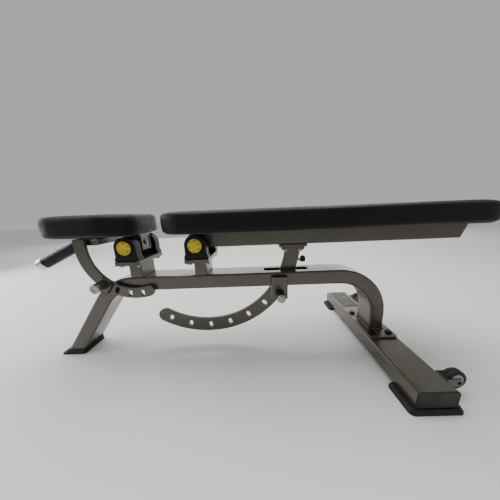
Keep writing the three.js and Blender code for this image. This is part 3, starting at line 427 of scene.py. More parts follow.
class Sheet:
    """Short hand for laying out the nodes of one shader tree."""

    def __init__(self, tree: Tree) -> None:
        """Keeps the tree and its shader, if it has one, and starts at its left end."""
        self.tree = tree
        self.shader = tree.nodes.get("Principled BSDF")
        self.column = 0

    def add(self, kind: str, settings: Optional[dict] = None, **inputs: object) -> Node:
        """Adds a node.

        Args:
            kind: The node's type.
            settings: Values of the node's own properties.
            inputs: Values or sockets for inputs, with spaces written as underscores.

        Returns:
            The node.
        """
        node = self.tree.nodes.new(kind)
        node.location = (self.column * 40, -(self.column % 5) * 160)
        self.column += 1
        for name, value in (settings or {}).items():
            setattr(node, name, value)
        for name, value in inputs.items():
            self.feed(node.inputs[name.replace("_", " ")], value)
        return node

    def feed(self, socket: Socket, value: object) -> None:
        """Links a socket or sets a plain value."""
        if isinstance(value, bpy.types.NodeSocket):
            self.tree.links.new(value, socket)
        elif isinstance(value, tuple) and len(value) == 3 and socket.type == "RGBA":
            socket.default_value = (*value, 1.0)
        else:
            socket.default_value = value

    def set(self, name: str, value: object) -> None:
        """Links or sets one of the shader's own sockets."""
        self.feed(self.shader.inputs[name], value)

    def calc(self, operation: str, first: object, second: object = 0.0, clamp: bool = False) -> Socket:
        """Works out one value from two."""
        node = self.add("ShaderNodeMath", {"operation": operation, "use_clamp": clamp})
        self.feed(node.inputs[0], first)
        self.feed(node.inputs[1], second)
        return node.outputs[0]

    def times(self, first: object, second: object, clamp: bool = False) -> Socket:
        """The product of two values."""
        return self.calc("MULTIPLY", first, second, clamp)

    def plus(self, first: object, second: object, clamp: bool = False) -> Socket:
        """The sum of two values."""
        return self.calc("ADD", first, second, clamp)

    def minus(self, first: object, second: object) -> Socket:
        """The first value less the second."""
        return self.calc("SUBTRACT", first, second)

    def spread(
        self, value: Socket, low: float, high: float, to_low: float = 0.0, to_high: float = 1.0
    ) -> Socket:
        """Maps a range of values to another one, clamped."""
        ends = {"From_Min": low, "From_Max": high, "To_Min": to_low, "To_Max": to_high}
        return self.add("ShaderNodeMapRange", Value=value, **ends).outputs[0]

    def between(self, share: Socket, first: float, last: float) -> Socket:
        """A value between two others, for a share from 0 to 1."""
        return self.spread(share, 0.0, 1.0, first, last)

    def axis(self, vector: Socket, name: str) -> Socket:
        """One of a vector's three numbers."""
        return self.add("ShaderNodeSeparateXYZ", Vector=vector).outputs[name]

    def blend(self, factor: object, first: object, second: object, mode: str = "MIX") -> Socket:
        """Mixes two colours."""
        node = self.add("ShaderNodeMix", {"data_type": "RGBA", "blend_type": mode})
        self.feed(node.inputs[0], factor)
        self.feed(node.inputs[6], first)
        self.feed(node.inputs[7], second)
        return node.outputs[2]

    def place(self) -> Socket:
        """Coordinates that stay on the piece when it moves."""
        return self.add("ShaderNodeTexCoord").outputs["Object"]

    def stretched(self, vector: Socket, scale: Triple) -> Socket:
        """Coordinates scaled by a different amount on each axis."""
        return self.add("ShaderNodeMapping", Vector=vector, Scale=scale).outputs[0]

    def noise(self, vector: Socket, scale: object, detail: float = 3.0, roughness: float = 0.55) -> Socket:
        """Soft noise between 0 and 1."""
        node = self.add("ShaderNodeTexNoise", Vector=vector, Scale=scale, Detail=detail, Roughness=roughness)
        return node.outputs[0]

    def group(self, tree: Tree, **values: float) -> Node:
        """Places a shared effect with its own values."""
        return self.add("ShaderNodeGroup", {"node_tree": tree}, **values)

    def mask(self, tree: Tree, **values: float) -> Socket:
        """Places a shared effect and gives its mask."""
        return self.group(tree, **values).outputs["Mask"]

    def bump(self, height: Socket, distance: float, strength: float = 1.0) -> Socket:
        """A normal bent by a height, in metres."""
        node = self.add("ShaderNodeBump", Height=height, Distance=distance, Strength=strength)
        return node.outputs[0]


def shared_group(
    name: str, inputs: Sequence[tuple[str, float]], outputs: Sequence[str],
    fill: Callable[[Sheet, Node, Node], None],
) -> Tree:
    """Makes a shader node group, or gives the one that is there.

    Args:
        name: Its name.
        inputs: Names and usual values of its inputs.
        outputs: Names of its outputs.
        fill: Lays out its nodes between its two ends.

    Returns:
        The group.
    """
    if name in bpy.data.node_groups:
        return bpy.data.node_groups[name]
    tree = bpy.data.node_groups.new(name, "ShaderNodeTree")
    for label, value in inputs:
        socket = tree.interface.new_socket(name=label, in_out="INPUT", socket_type="NodeSocketFloat")
        socket.default_value = value
    for label in outputs:
        tree.interface.new_socket(name=label, in_out="OUTPUT", socket_type="NodeSocketFloat")
    sheet = Sheet(tree)
    start = sheet.add("NodeGroupInput")
    end = sheet.add("NodeGroupOutput")
    fill(sheet, start, end)
    return tree


def edge_wear_group() -> Tree:
    """Mask of rubbed edges: strong on sharp rims, broken up by noise."""

    def fill(sheet: Sheet, start: Node, end: Node) -> None:
        """Compares the true normal with one that is rounded at edges."""
        rounded = sheet.add("ShaderNodeBevel", {"samples": 4}, Radius=0.0016).outputs[0]
        true = sheet.add("ShaderNodeNewGeometry").outputs["Normal"]
        match = sheet.add("ShaderNodeVectorMath", {"operation": "DOT_PRODUCT"})
        sheet.feed(match.inputs[0], rounded)
        sheet.feed(match.inputs[1], true)
        edge = sheet.spread(match.outputs["Value"], 0.995, 0.88)
        patches = sheet.noise(sheet.place(), start.outputs["Scale"], 5.0, 0.7)
        broken = sheet.spread(patches, 0.42, 0.62)
        worn = sheet.times(edge, broken)
        sheet.feed(end.inputs["Mask"], sheet.times(worn, start.outputs["Amount"], clamp=True))

    return shared_group("edge_wear", [("Scale", 60.0), ("Amount", 0.5)], ["Mask"], fill)


def settled_dust_group() -> Tree:
    """Mask of dust that settles on faces that look up."""

    def fill(sheet: Sheet, start: Node, end: Node) -> None:
        """Takes the upward share of the normal, broken up by noise."""
        normal = sheet.add("ShaderNodeTexCoord").outputs["Normal"]
        upward = sheet.axis(normal, "Z")
        facing = sheet.spread(upward, 0.35, 0.95)
        coarse = sheet.noise(sheet.place(), start.outputs["Scale"], 6.0, 0.65)
        fine = sheet.noise(sheet.place(), 900.0, 2.0, 0.5)
        specks = sheet.times(sheet.spread(coarse, 0.35, 0.75), sheet.spread(fine, 0.3, 0.75))
        dusty = sheet.times(facing, specks)
        sheet.feed(end.inputs["Mask"], sheet.times(dusty, start.outputs["Amount"], clamp=True))

    return shared_group("settled_dust", [("Scale", 9.0), ("Amount", 0.3)], ["Mask"], fill)


def handling_group() -> Tree:
    """Smudges from hands, and fine scratches."""

    def fill(sheet: Sheet, start: Node, end: Node) -> None:
        """Lays soft patches for smudges and long thin noise for scratches."""
        place = sheet.place()
        patches = sheet.noise(place, start.outputs["Scale"], 4.0, 0.6)
        sheet.feed(end.inputs["Smudge"], sheet.spread(patches, 0.35, 0.7))
        long_way = sheet.stretched(place, (40.0, 900.0, 900.0))
        cross_way = sheet.stretched(place, (700.0, 60.0, 500.0))
        first = sheet.spread(sheet.noise(long_way, 1.0, 2.0), 0.69, 0.74)
        second = sheet.spread(sheet.noise(cross_way, 1.0, 2.0), 0.7, 0.75)
        sheet.feed(end.inputs["Scratch"], sheet.calc("MAXIMUM", first, second))

    return shared_group("handling", [("Scale", 14.0)], ["Smudge", "Scratch"], fill)


def orange_peel_group() -> Tree:
    """Height of the slight waviness of sprayed paint or moulded plastic."""

    def fill(sheet: Sheet, start: Node, end: Node) -> None:
        """Adds a fine and a coarse wave."""
        place = sheet.place()
        fine = sheet.noise(place, start.outputs["Scale"], 2.0, 0.5)
        coarse = sheet.noise(place, 45.0, 2.0, 0.4)
        half = sheet.times(coarse, 0.6)
        sheet.feed(end.inputs["Height"], sheet.plus(fine, half))

    return shared_group("orange_peel", [("Scale", 420.0)], ["Height"], fill)


def leather_grain_group() -> Tree:
    """Cells and creases of embossed vinyl."""

    def fill(sheet: Sheet, start: Node, end: Node) -> None:
        """Warps two sizes of cells by noise and adds soft long creases."""
        place = sheet.place()
        shift = sheet.add("ShaderNodeTexNoise", Vector=place, Scale=180.0, Detail=2.0).outputs["Color"]
        small = sheet.add("ShaderNodeVectorMath", {"operation": "SCALE"}, Vector=shift, Scale=0.0022)
        warped = sheet.add("ShaderNodeVectorMath", {"operation": "ADD"})
        sheet.feed(warped.inputs[0], place)
        sheet.feed(warped.inputs[1], small.outputs[0])
        settings = {"feature": "DISTANCE_TO_EDGE"}
        size = start.outputs["Scale"]
        cells = sheet.add("ShaderNodeTexVoronoi", settings, Vector=warped.outputs[0], Scale=size)
        ridge = sheet.spread(cells.outputs["Distance"], 0.0, 0.22)
        pores = sheet.spread(sheet.noise(place, 1400.0, 2.0), 0.35, 0.6, 0.75, 1.0)
        sheet.feed(end.inputs["Height"], sheet.times(ridge, pores))
        creases = sheet.noise(sheet.stretched(place, (18.0, 55.0, 30.0)), 1.0, 5.0, 0.6)
        sheet.feed(end.inputs["Crease"], sheet.spread(creases, 0.4, 0.75))

    return shared_group("leather_grain", [("Scale", 520.0)], ["Height", "Crease"], fill)


# ---- finishes


@dataclass(frozen=True)
class Finish:
    """A finish: its name, its slot in the record and its colour."""

    name: str
    slot: Slot
    colour: Colour

    def material(self) -> bpy.types.Material:
        """Gives the finish's material, made once."""
        name = f"{self.name}_finish"
        if name in bpy.data.materials:
            return bpy.data.materials[name]
        made = bpy.data.materials.new(name)
        made.use_nodes = True
        made.diffuse_color = (*self.colour, 1.0)
        self.lay_out(Sheet(made.node_tree))
        return made

    def lay_out(self, sheet: Sheet) -> None:
        """Lays out the nodes of one kind of finish.

        Args:
            sheet: The material's nodes, with its Principled BSDF.
        """
        raise NotImplementedError

    def shade(self, factor: float, lift: float = 0.0) -> Colour:
        """The finish's colour, made darker or lighter."""
        return tuple(min(value * factor + lift, 1.0) for value in self.colour)


@dataclass(frozen=True)
class SprayedPaint(Finish):
    """Glossy sprayed paint on steel, with rubbed edges and a little dust."""

    metallic: float = 0.55
    gloss: float = 0.27
    worn: float = 0.3
    dust: float = 0.18
    bare: Colour = (0.42, 0.4, 0.37)

    def lay_out(self, sheet: Sheet) -> None:
        """Paint, flake variation, rubbed rims, smudges, dust and orange peel."""
        place = sheet.place()
        wear = sheet.mask(edge_wear_group(), Scale=70.0, Amount=self.worn)
        dust = sheet.mask(settled_dust_group(), Scale=9.0, Amount=self.dust)
        marks = sheet.group(handling_group(), Scale=11.0)
        tint = sheet.spread(sheet.noise(place, 6.0, 4.0), 0.3, 0.7)
        paint = sheet.blend(tint, self.shade(0.86), self.shade(1.1))
        flakes = sheet.spread(sheet.noise(place, 2600.0, 1.0), 0.45, 0.7, 0.0, 0.03)
        paint = sheet.blend(flakes, paint, (0.75, 0.74, 0.71))
        paint = sheet.blend(wear, paint, self.bare)
        scratch = sheet.times(marks.outputs["Scratch"], 0.16)
        paint = sheet.blend(scratch, paint, (0.5, 0.49, 0.46))
        paint = sheet.blend(dust, paint, (0.4, 0.38, 0.34))
        sheet.set("Base Color", paint)
        smudged = sheet.between(marks.outputs["Smudge"], self.gloss - 0.05, self.gloss + 0.1)
        dulled = sheet.plus(smudged, sheet.times(dust, 0.35))
        sheet.set("Roughness", sheet.plus(dulled, sheet.times(wear, 0.12), clamp=True))
        sheet.set("Metallic", sheet.plus(sheet.times(wear, 0.4), self.metallic, clamp=True))
        sheet.set("Coat Weight", 0.35)
        sheet.set("Coat Roughness", 0.12)
        peel = sheet.group(orange_peel_group(), Scale=380.0).outputs["Height"]
        height = sheet.minus(peel, sheet.times(marks.outputs["Scratch"], 0.1))
        sheet.set("Normal", sheet.bump(height, 0.00006, 0.8))


@dataclass(frozen=True)
class WeldSteel(Finish):
    """Painted weld bead, with a rippled surface and painted shade in its hollows."""

    def lay_out(self, sheet: Sheet) -> None:
        """Ripples under a thin paint, with painted shade that darkens their hollows."""
        place = sheet.place()
        ripples = sheet.noise(place, 700.0, 3.0, 0.6)
        # painted shade: the colour darkens where the ripples dip
        painted_hollow_shade = sheet.spread(ripples, 0.35, 0.6)
        sheet.set("Base Color", sheet.blend(painted_hollow_shade, self.shade(0.55), self.colour))
        sheet.set("Roughness", sheet.spread(ripples, 0.2, 0.8, 0.25, 0.5))
        sheet.set("Metallic", 0.4)
        sheet.set("Normal", sheet.bump(ripples, 0.0003, 0.8))


@dataclass(frozen=True)
class PadVinyl(Finish):
    """Embossed black upholstery vinyl with sewn seams."""

    seams: tuple[float, ...] = ()
    end_seam: tuple[float, ...] = ()

    def lay_out(self, sheet: Sheet) -> None:
        """Grain, creases, rubbed sheen and seams at fixed places along the pad."""
        place = sheet.place()
        grain = sheet.group(leather_grain_group(), Scale=520.0)
        dust = sheet.mask(settled_dust_group(), Scale=6.0, Amount=0.035)
        marks = sheet.group(handling_group(), Scale=7.0)
        tone = sheet.spread(sheet.noise(place, 5.0, 4.0), 0.3, 0.7)
        base = sheet.blend(tone, self.colour, self.shade(1.9))
        base = sheet.blend(sheet.times(marks.outputs["Smudge"], 0.12), base, (0.009, 0.0095, 0.0105))
        base = sheet.blend(dust, base, (0.16, 0.155, 0.145))
        crease = sheet.times(grain.outputs["Crease"], 0.35)
        height = sheet.plus(sheet.times(grain.outputs["Height"], 0.5), crease)
        along = sheet.axis(place, "X")
        grooves = [(self.groove(sheet, along, seam, 0.0016), 0.002) for seam in self.seams]
        if self.end_seam:
            start, seam = self.end_seam
            groove = self.groove(sheet, sheet.axis(place, "Y"), seam, 0.0018)
            groove = sheet.times(groove, sheet.calc("GREATER_THAN", along, start * MM))
            grooves.append((groove, 0.001))
        for groove, dark in grooves:
            height = sheet.minus(height, sheet.times(groove, 4.0))
            base = sheet.blend(sheet.times(groove, 0.9), base, (dark, dark, dark))
        sheet.set("Base Color", base)
        rough = sheet.between(marks.outputs["Smudge"], 0.42, 0.56)
        sheet.set("Roughness", sheet.plus(rough, sheet.times(dust, 0.5), clamp=True))
        sheet.set("Specular IOR Level", 0.22)
        sheet.set("Normal", sheet.bump(height, 0.00035, 0.7))

    @staticmethod
    def groove(sheet: Sheet, place: Socket, seam: float, reach: float) -> Socket:
        """Mask of the thin groove of a seam, at a place along one axis."""
        away = sheet.calc("ABSOLUTE", sheet.minus(place, seam * MM))
        return sheet.spread(away, 0.0, reach, 1.0, 0.0)


@dataclass(frozen=True)
class Moulded(Finish):
    """Moulded plastic or cast and coated metal."""

    gloss: float = 0.4
    texture: float = 300.0
    depth: float = 0.00008
    dust: float = 0.2
    worn: float = 0.15
    coat: float = 0.0
    shine: float = 0.5

    def lay_out(self, sheet: Sheet) -> None:
        """Slight mottling, moulded texture, smudges and dust."""
        place = sheet.place()
        marks = sheet.group(handling_group(), Scale=24.0)
        dust = sheet.mask(settled_dust_group(), Scale=18.0, Amount=self.dust)
        wear = sheet.mask(edge_wear_group(), Scale=120.0, Amount=self.worn)
        tone = sheet.spread(sheet.noise(place, 35.0, 4.0), 0.3, 0.7)
        base = sheet.blend(tone, self.shade(0.8), self.shade(1.15))
        base = sheet.blend(wear, base, self.shade(1.5, 0.02))
        base = sheet.blend(dust, base, (0.3, 0.28, 0.25))
        sheet.set("Base Color", base)
        rough = sheet.between(marks.outputs["Smudge"], self.gloss - 0.06, self.gloss + 0.12)
        sheet.set("Roughness", sheet.plus(rough, sheet.times(dust, 0.4), clamp=True))
        sheet.set("Specular IOR Level", self.shine)
        sheet.set("Coat Weight", self.coat)
        sheet.set("Coat Roughness", 0.1)
        peel = sheet.group(orange_peel_group(), Scale=self.texture).outputs["Height"]
        height = sheet.minus(peel, sheet.times(marks.outputs["Scratch"], 0.3))
        sheet.set("Normal", sheet.bump(height, self.depth, 0.8))


@dataclass(frozen=True)
class Rubber(Finish):
    """Matt rubber with fine pores and a dusty bloom."""

    gloss: float = 0.6
    ribs: float = 0.0
    rib_slope: float = 0.424
    shine: float = 0.4

    def lay_out(self, sheet: Sheet) -> None:
        """Pores, bloom, scuffs on rims, and rings round a grip where it has them."""
        place = sheet.place()
        dust = sheet.mask(settled_dust_group(), Scale=14.0, Amount=0.12)
        wear = sheet.mask(edge_wear_group(), Scale=150.0, Amount=0.35)
        bloom = sheet.spread(sheet.noise(place, 22.0, 5.0), 0.35, 0.7)
        base = sheet.blend(bloom, self.shade(0.75), self.shade(1.4))
        base = sheet.blend(wear, base, self.shade(2.0, 0.006))
        base = sheet.blend(dust, base, (0.2, 0.18, 0.16))
        sheet.set("Base Color", base)
        sheet.set("Roughness", sheet.between(bloom, self.gloss - 0.08, self.gloss + 0.14))
        sheet.set("Specular IOR Level", self.shine)
        pores = sheet.noise(place, 1100.0, 3.0, 0.6)
        height = pores
        if self.ribs:
            settings = {"rotation_type": "Y_AXIS"}
            turned = sheet.add("ShaderNodeVectorRotate", settings, Vector=place, Angle=-self.rib_slope)
            along = sheet.axis(turned.outputs[0], "X")
            wave = sheet.calc("SINE", sheet.times(along, self.ribs))
            height = sheet.plus(pores, sheet.times(wave, 0.8))
        sheet.set("Normal", sheet.bump(height, 0.00012, 0.7))


@dataclass(frozen=True)
class PlatedSteel(Finish):
    """Turned or plated steel with fine tool lines."""

    gloss: float = 0.3
    stained: float = 0.4

    def lay_out(self, sheet: Sheet) -> None:
        """Tool lines, stains in patches, and rubbed rims."""
        place = sheet.place()
        stain = sheet.spread(sheet.noise(place, 90.0, 5.0, 0.65), 0.4, 0.7, 0.0, self.stained)
        wear = sheet.mask(edge_wear_group(), Scale=200.0, Amount=0.5)
        base = sheet.blend(stain, self.colour, self.shade(0.35))
        base = sheet.blend(wear, base, self.shade(1.5, 0.1))
        sheet.set("Base Color", base)
        sheet.set("Metallic", 1.0)
        lines = sheet.noise(sheet.stretched(place, (250.0, 2400.0, 250.0)), 1.0, 2.0)
        rough = sheet.spread(lines, 0.3, 0.7, self.gloss - 0.08, self.gloss + 0.08)
        sheet.set("Roughness", sheet.plus(rough, sheet.times(stain, 0.3), clamp=True))
        sheet.set("Normal", sheet.bump(lines, 0.00003, 0.6))


@dataclass(frozen=True)
class Chrome(Finish):
    """Bright chrome with fingerprints and faint polishing lines."""

    def lay_out(self, sheet: Sheet) -> None:
        """Near-mirror metal, dulled in patches."""
        place = sheet.place()
        marks = sheet.group(handling_group(), Scale=60.0)
        base = sheet.blend(marks.outputs["Smudge"], self.colour, self.shade(0.88))
        sheet.set("Base Color", base)
        sheet.set("Metallic", 1.0)
        sheet.set("Roughness", sheet.between(marks.outputs["Smudge"], 0.06, 0.2))
        lines = sheet.noise(sheet.stretched(place, (1800.0, 200.0, 200.0)), 1.0, 2.0)
        sheet.set("Normal", sheet.bump(lines, 0.000012, 0.5))


@dataclass(frozen=True)
class ClearPlastic(Finish):
    """Cloudy see-through plastic of the ball knob."""

    def lay_out(self, sheet: Sheet) -> None:
        """Light passes through, scattered by faint clouds and scratches."""
        place = sheet.place()
        clouds = sheet.spread(sheet.noise(place, 160.0, 4.0), 0.3, 0.7)
        marks = sheet.group(handling_group(), Scale=80.0)
        sheet.set("Base Color", sheet.blend(clouds, self.colour, self.shade(0.82)))
        sheet.set("Transmission Weight", 0.55)
        sheet.set("IOR", 1.46)
        sheet.set("Roughness", sheet.between(marks.outputs["Smudge"], 0.12, 0.3))
        sheet.set("Normal", sheet.bump(clouds, 0.00005, 0.5))


@dataclass(frozen=True)
class BoardStain(Finish):
    """Plywood stained dark, with its layers on the edge."""

    def lay_out(self, sheet: Sheet) -> None:
        """Long grain on the faces and thin layers on the edge."""
        place = sheet.place()
        grain = sheet.noise(sheet.stretched(place, (9.0, 130.0, 60.0)), 1.0, 6.0, 0.65)
        dark = self.shade(0.45)
        base = sheet.blend(sheet.spread(grain, 0.3, 0.7), dark, self.colour)
        depth = sheet.axis(place, "Z")
        layers = sheet.spread(sheet.calc("SINE", sheet.times(depth, 2600.0)), -0.3, 0.6)
        base = sheet.blend(sheet.times(layers, 0.35), base, dark)
        sheet.set("Base Color", base)
        sheet.set("Roughness", sheet.spread(grain, 0.3, 0.7, 0.55, 0.8))
        sheet.set("Normal", sheet.bump(grain, 0.0003, 0.7))


@dataclass(frozen=True)
class GritPatch(Finish):
    """Stick-on anti-slip patch of fine grit."""

    def lay_out(self, sheet: Sheet) -> None:
        """Grains of grit, some of them bright, with worn patches."""
        place = sheet.place()
        settings = {"feature": "F1"}
        grains = sheet.add("ShaderNodeTexVoronoi", settings, Vector=place, Scale=900.0)
        bright = sheet.spread(grains.outputs["Distance"], 0.15, 0.5, 1.0, 0.0)
        worn = sheet.spread(sheet.noise(place, 30.0, 5.0), 0.45, 0.7)
        base = sheet.blend(bright, self.colour, self.shade(2.6))
        base = sheet.blend(sheet.times(worn, 0.35), base, (0.24, 0.23, 0.21))
        sheet.set("Base Color", base)
        sheet.set("Roughness", sheet.between(bright, 0.8, 0.5))
        sheet.set("Normal", sheet.bump(bright, 0.0004, 0.9))


@dataclass(frozen=True)
class Palette:
    """Every finish of the bench."""

    paint: Finish = SprayedPaint("frame_paint", Slot.FRAME_PAINT, (0.09, 0.077, 0.06))
    weld: Finish = WeldSteel("weld_bead", Slot.FRAME_PAINT, (0.11, 0.1, 0.085))
    seat_vinyl: PadVinyl = PadVinyl(
        "seat_vinyl", Slot.PAD_VINYL, (0.0022, 0.0022, 0.0024), end_seam=(-314.0, -16.0)
    )
    back_vinyl: PadVinyl = PadVinyl("backrest_vinyl", Slot.PAD_VINYL, (0.0022, 0.0021, 0.002), seams=(676.0,))
    board: Finish = BoardStain("board_stain", Slot.PLYWOOD, (0.06, 0.045, 0.032))
    shoe: Finish = Rubber("shoe_rubber", Slot.SHOE_RUBBER, (0.004, 0.004, 0.0044))
    grip: Finish = Rubber(
        "grip_sleeve", Slot.HANDLE_RUBBER, (0.0022, 0.0028, 0.0055), gloss=0.4, ribs=1500.0, shine=0.22
    )
    tyre: Finish = Rubber("wheel_tyre", Slot.TYRE_RUBBER, (0.004, 0.004, 0.0044), gloss=0.5)
    housing: Finish = Moulded(
        "bearing_black", Slot.BLACK_PLASTIC, (0.003, 0.0029, 0.0028),
        gloss=0.36, dust=0.05, worn=0.05, shine=0.25,
    )
    plug: Finish = Moulded(
        "end_plug_black", Slot.BLACK_PLASTIC, (0.006, 0.0057, 0.005),
        gloss=0.42, texture=500.0, dust=0.1, shine=0.35,
    )
    yellow: Finish = Moulded(
        "cap_yellow", Slot.YELLOW_PLASTIC, (0.66, 0.48, 0.0),
        gloss=0.3, texture=240.0, dust=0.04, worn=0.06, coat=0.2,
    )
    print_black: Finish = Moulded("cap_print", Slot.BLACK_PLASTIC, (0.06, 0.05, 0.01), gloss=0.5, dust=0.05)
    hub: Finish = Moulded("wheel_hub", Slot.PALE_PLASTIC, (0.62, 0.61, 0.58), gloss=0.35, dust=0.25)
    clear: Finish = ClearPlastic("knob_clear", Slot.PALE_PLASTIC, (0.8, 0.79, 0.76))
    zinc: Finish = PlatedSteel("zinc_plate", Slot.ZINC_STEEL, (0.42, 0.41, 0.39))
    black_steel: Finish = PlatedSteel("black_bolt", Slot.ZINC_STEEL, (0.05, 0.047, 0.042), gloss=0.38)
    chrome: Finish = Chrome("chrome_cap", Slot.CHROME, (0.72, 0.73, 0.74))
    grit: Finish = GritPatch("grit_patch", Slot.GRIP_PATCH, (0.075, 0.073, 0.068))


# ---- fitting pieces to the bench


@dataclass
class Workshop:
    """Turns solids into finished pieces that ride on the bench."""

    palette: Palette
    made: int = 0

    def fit(
        self, name: str, solid: Solid, finish: Finish, body: Body,
        replaces: Iterable[str] = (), sharp: float = 38.0,
    ) -> Item:
        """Makes a piece and fits it to a body.

        Args:
            name: The piece's name.
            solid: Its mesh, in millimetres.
            finish: Its finish.
            body: The body that it rides on.
            replaces: CAD nodes that it stands for.
            sharp: Edges bent by more than this many degrees stay sharp.

        Returns:
            The piece.
        """
        data = solid.to_mesh(name)
        data.transform(Matrix.Scale(MM, 4))
        return self.settle(stand(name, data), finish, body, replaces, sharp)

    def settle(
        self, piece: Item, finish: Finish, body: Body,
        replaces: Iterable[str] = (), sharp: float = 38.0,
    ) -> Item:
        """Gives a finished mesh its material, shading and body."""
        piece.data.materials.clear()
        piece.data.materials.append(finish.material())
        piece.data.shade_smooth()
        piece.data.set_sharp_from_angle(angle=math.radians(sharp))
        even = piece.modifiers.new("even_faces", "WEIGHTED_NORMAL")
        even.keep_sharp = True
        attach(piece, body.value)
        nodes = list(replaces)
        if nodes:
            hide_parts(*nodes)
        self.made += 1
        LOG.info("%s: %s on %s", piece.name, finish.name, body.value)
        return piece

    def weld(self, name: str, bead: Solid, body: Body = Body.FRAME) -> None:
        """Makes a weld bead on a body."""
        self.fit(name, bead, self.palette.weld, body, sharp=80)

    def fix(self, name: str, solid: Solid, finish: Finish, *nodes: str) -> Item:
        """Makes a piece of the fixed frame, in the place of CAD nodes."""
        return self.fit(name, solid, finish, Body.FRAME, nodes)

    def dress(self, node: str, finish: Finish) -> None:
        """Gives a CAD node that stays in view its finish."""
        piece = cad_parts[node]
        material = finish.material()
        if piece.material_slots:
            piece.material_slots[0].link = "OBJECT"
            piece.material_slots[0].material = material
        else:
            piece.data.materials.append(material)
        LOG.info("%s: %s", node, finish.name)


def bolt_head(radius: float, height: float, place: Matrix, washer: float = 1.4) -> Solid:
    """A hexagon head on a washer.

    Args:
        radius: Half the width across its corners.
        height: Height of the head.
        place: Seat of the washer, with the head along local +Z.
        washer: Thickness of the washer.

    Returns:
        The solid.
    """
    steps = 48

    def loop(size: float, level: float, hexagon: bool) -> list[Vector]:
        """One ring of the head, round or six-sided."""
        points = []
        for step in range(steps):
            turn = 2 * math.pi * step / steps
            reach = size
            if hexagon:
                wedge = (turn % (math.pi / 3)) - math.pi / 6
                reach = size * math.cos(math.pi / 6) / math.cos(wedge)
            points.append(place @ Vector((reach * math.cos(turn), reach * math.sin(turn), level)))
        return points

    top = washer + height
    rows = [
        (1.35, 0.0, False), (1.38, washer * 0.3, False), (1.38, washer * 0.8, False), (1.33, washer, False),
        (1.01, washer, True), (1.01, top - height * 0.12, True), (0.97, top - height * 0.04, True),
        (0.82, top, False), (0.6, top - height * 0.06, False),
    ]
    return Solid().loft([loop(radius * share, level, hexagon) for share, level, hexagon in rows])


def four_corners() -> list[tuple[int, int, int]]:
    """Number and sides of each bolt in a pattern of four."""
    return [(1, -1, -1), (2, -1, 1), (3, 1, -1), (4, 1, 1)]


def bead_pair(start: Sequence[float], spacing: float, count: int, radius: float) -> Solid:
    """Two straight weld beads along X, one on each side of the bench's middle plane."""
    beads = Solid()
    x, half, z = start
    for side in (-1, 1):
        points = [Vector((x + spacing * step, side * half, z)) for step in range(count)]
        beads.cord(points, radius, ripple=WELD_RIPPLE)
    return beads


def bead_round(low: Pair, high: Pair, height: float, radius: float) -> Solid:
    """A weld bead round a rectangular foot that stands on a level face."""
    outline = rounded_rectangle(low, high, (4.0, 4.0), 4)
    points = level_loop(outline, height)
    dense: list[Vector] = []
    for index, point in enumerate(points):
        after = points[(index + 1) % len(points)]
        steps = max(1, int((after - point).length / 1.6))
        dense += [point.lerp(after, step / steps) for step in range(steps)]
    return Solid().cord(dense, radius, closed=True, ripple=WELD_RIPPLE)


@dataclass
class Places:
    """Key places of the bench in millimetres, read from the frame."""

    back_x: float = 0.0
    seat_x: float = 0.0
    pivot_z: float = 0.0

    @classmethod
    def read(cls) -> "Places":
        """Reads the two pivots from their shafts."""
        back_low, back_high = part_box("back_shaft")
        seat_low, seat_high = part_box("seat_shaft")
        middle = (back_low + back_high) / 2
        return cls(middle.x / MM, (seat_low + seat_high).x / 2 / MM, middle.z / MM)

    def back_arc(self) -> "LockingArc":
        """The backrest's arc."""
        return LockingArc(self.back_x, self.pivot_z, 268.0, 316.5, 120.8, 33.7, 13.8, 7)

    def seat_arc(self) -> "LockingArc":
        """The seat's arc."""
        return LockingArc(self.seat_x, self.pivot_z, 127.0, 161.0, 74.3, 129.4, -15.6, 4)


@dataclass(frozen=True)
class LockingArc:
    """Slotted arc round a pivot, in millimetres and in degrees below +X."""

    pivot_x: float
    pivot_z: float
    inner: float
    outer: float
    tip: float
    first_slot: float
    slot_step: float
    slots: int
    rim: float = 0.9

    @property
    def middle(self) -> float:
        """Radius of the arc's centre line."""
        return (self.inner + self.outer) / 2

    def below(self, radius: float, degrees: float) -> Pair:
        """A point round the pivot."""
        turn = math.radians(degrees)
        return self.pivot_x + radius * math.cos(turn), self.pivot_z - radius * math.sin(turn)

    def first_hole(self) -> Pair:
        """X and Z of the slot that the pin enters when the pad is flat."""
        return self.below(self.middle, self.first_slot)

    def run(self, radius: float, start: float, end: float, steps: int) -> Outline:
        """Points along one rim of the arc, both ends included."""
        return [self.below(radius, start + (end - start) * step / steps) for step in range(steps + 1)]

    def slot_outlines(self) -> list[Outline]:
        """Outlines of all slots, their length across the arc."""
        outlines = []
        for index in range(self.slots):
            degrees = self.first_slot + index * self.slot_step
            outlines.append(slot_outline(self.below(self.middle, degrees), *SLOT, -math.radians(degrees)))
        return outlines


def corner_box(node: str) -> tuple[Vector, Vector]:
    """Corners of a CAD node, in millimetres."""
    low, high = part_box(node)
    return low / MM, high / MM


def middle_of(node: str) -> Vector:
    """Middle of a CAD node's box, in millimetres."""
    low, high = corner_box(node)
    return (low + high) / 2


def pivot_shaft(node: str) -> Solid:
    """Round shaft with chamfered ends, in the place of a CAD node."""
    low, high = corner_box(node)
    middle = middle_of(node)
    return Solid().bar(10.0, (middle.x, low.y, middle.z), (middle.x, high.y, middle.z), 1.0)


SIDES = (("near", -1), ("far", 1))


# ---- frame


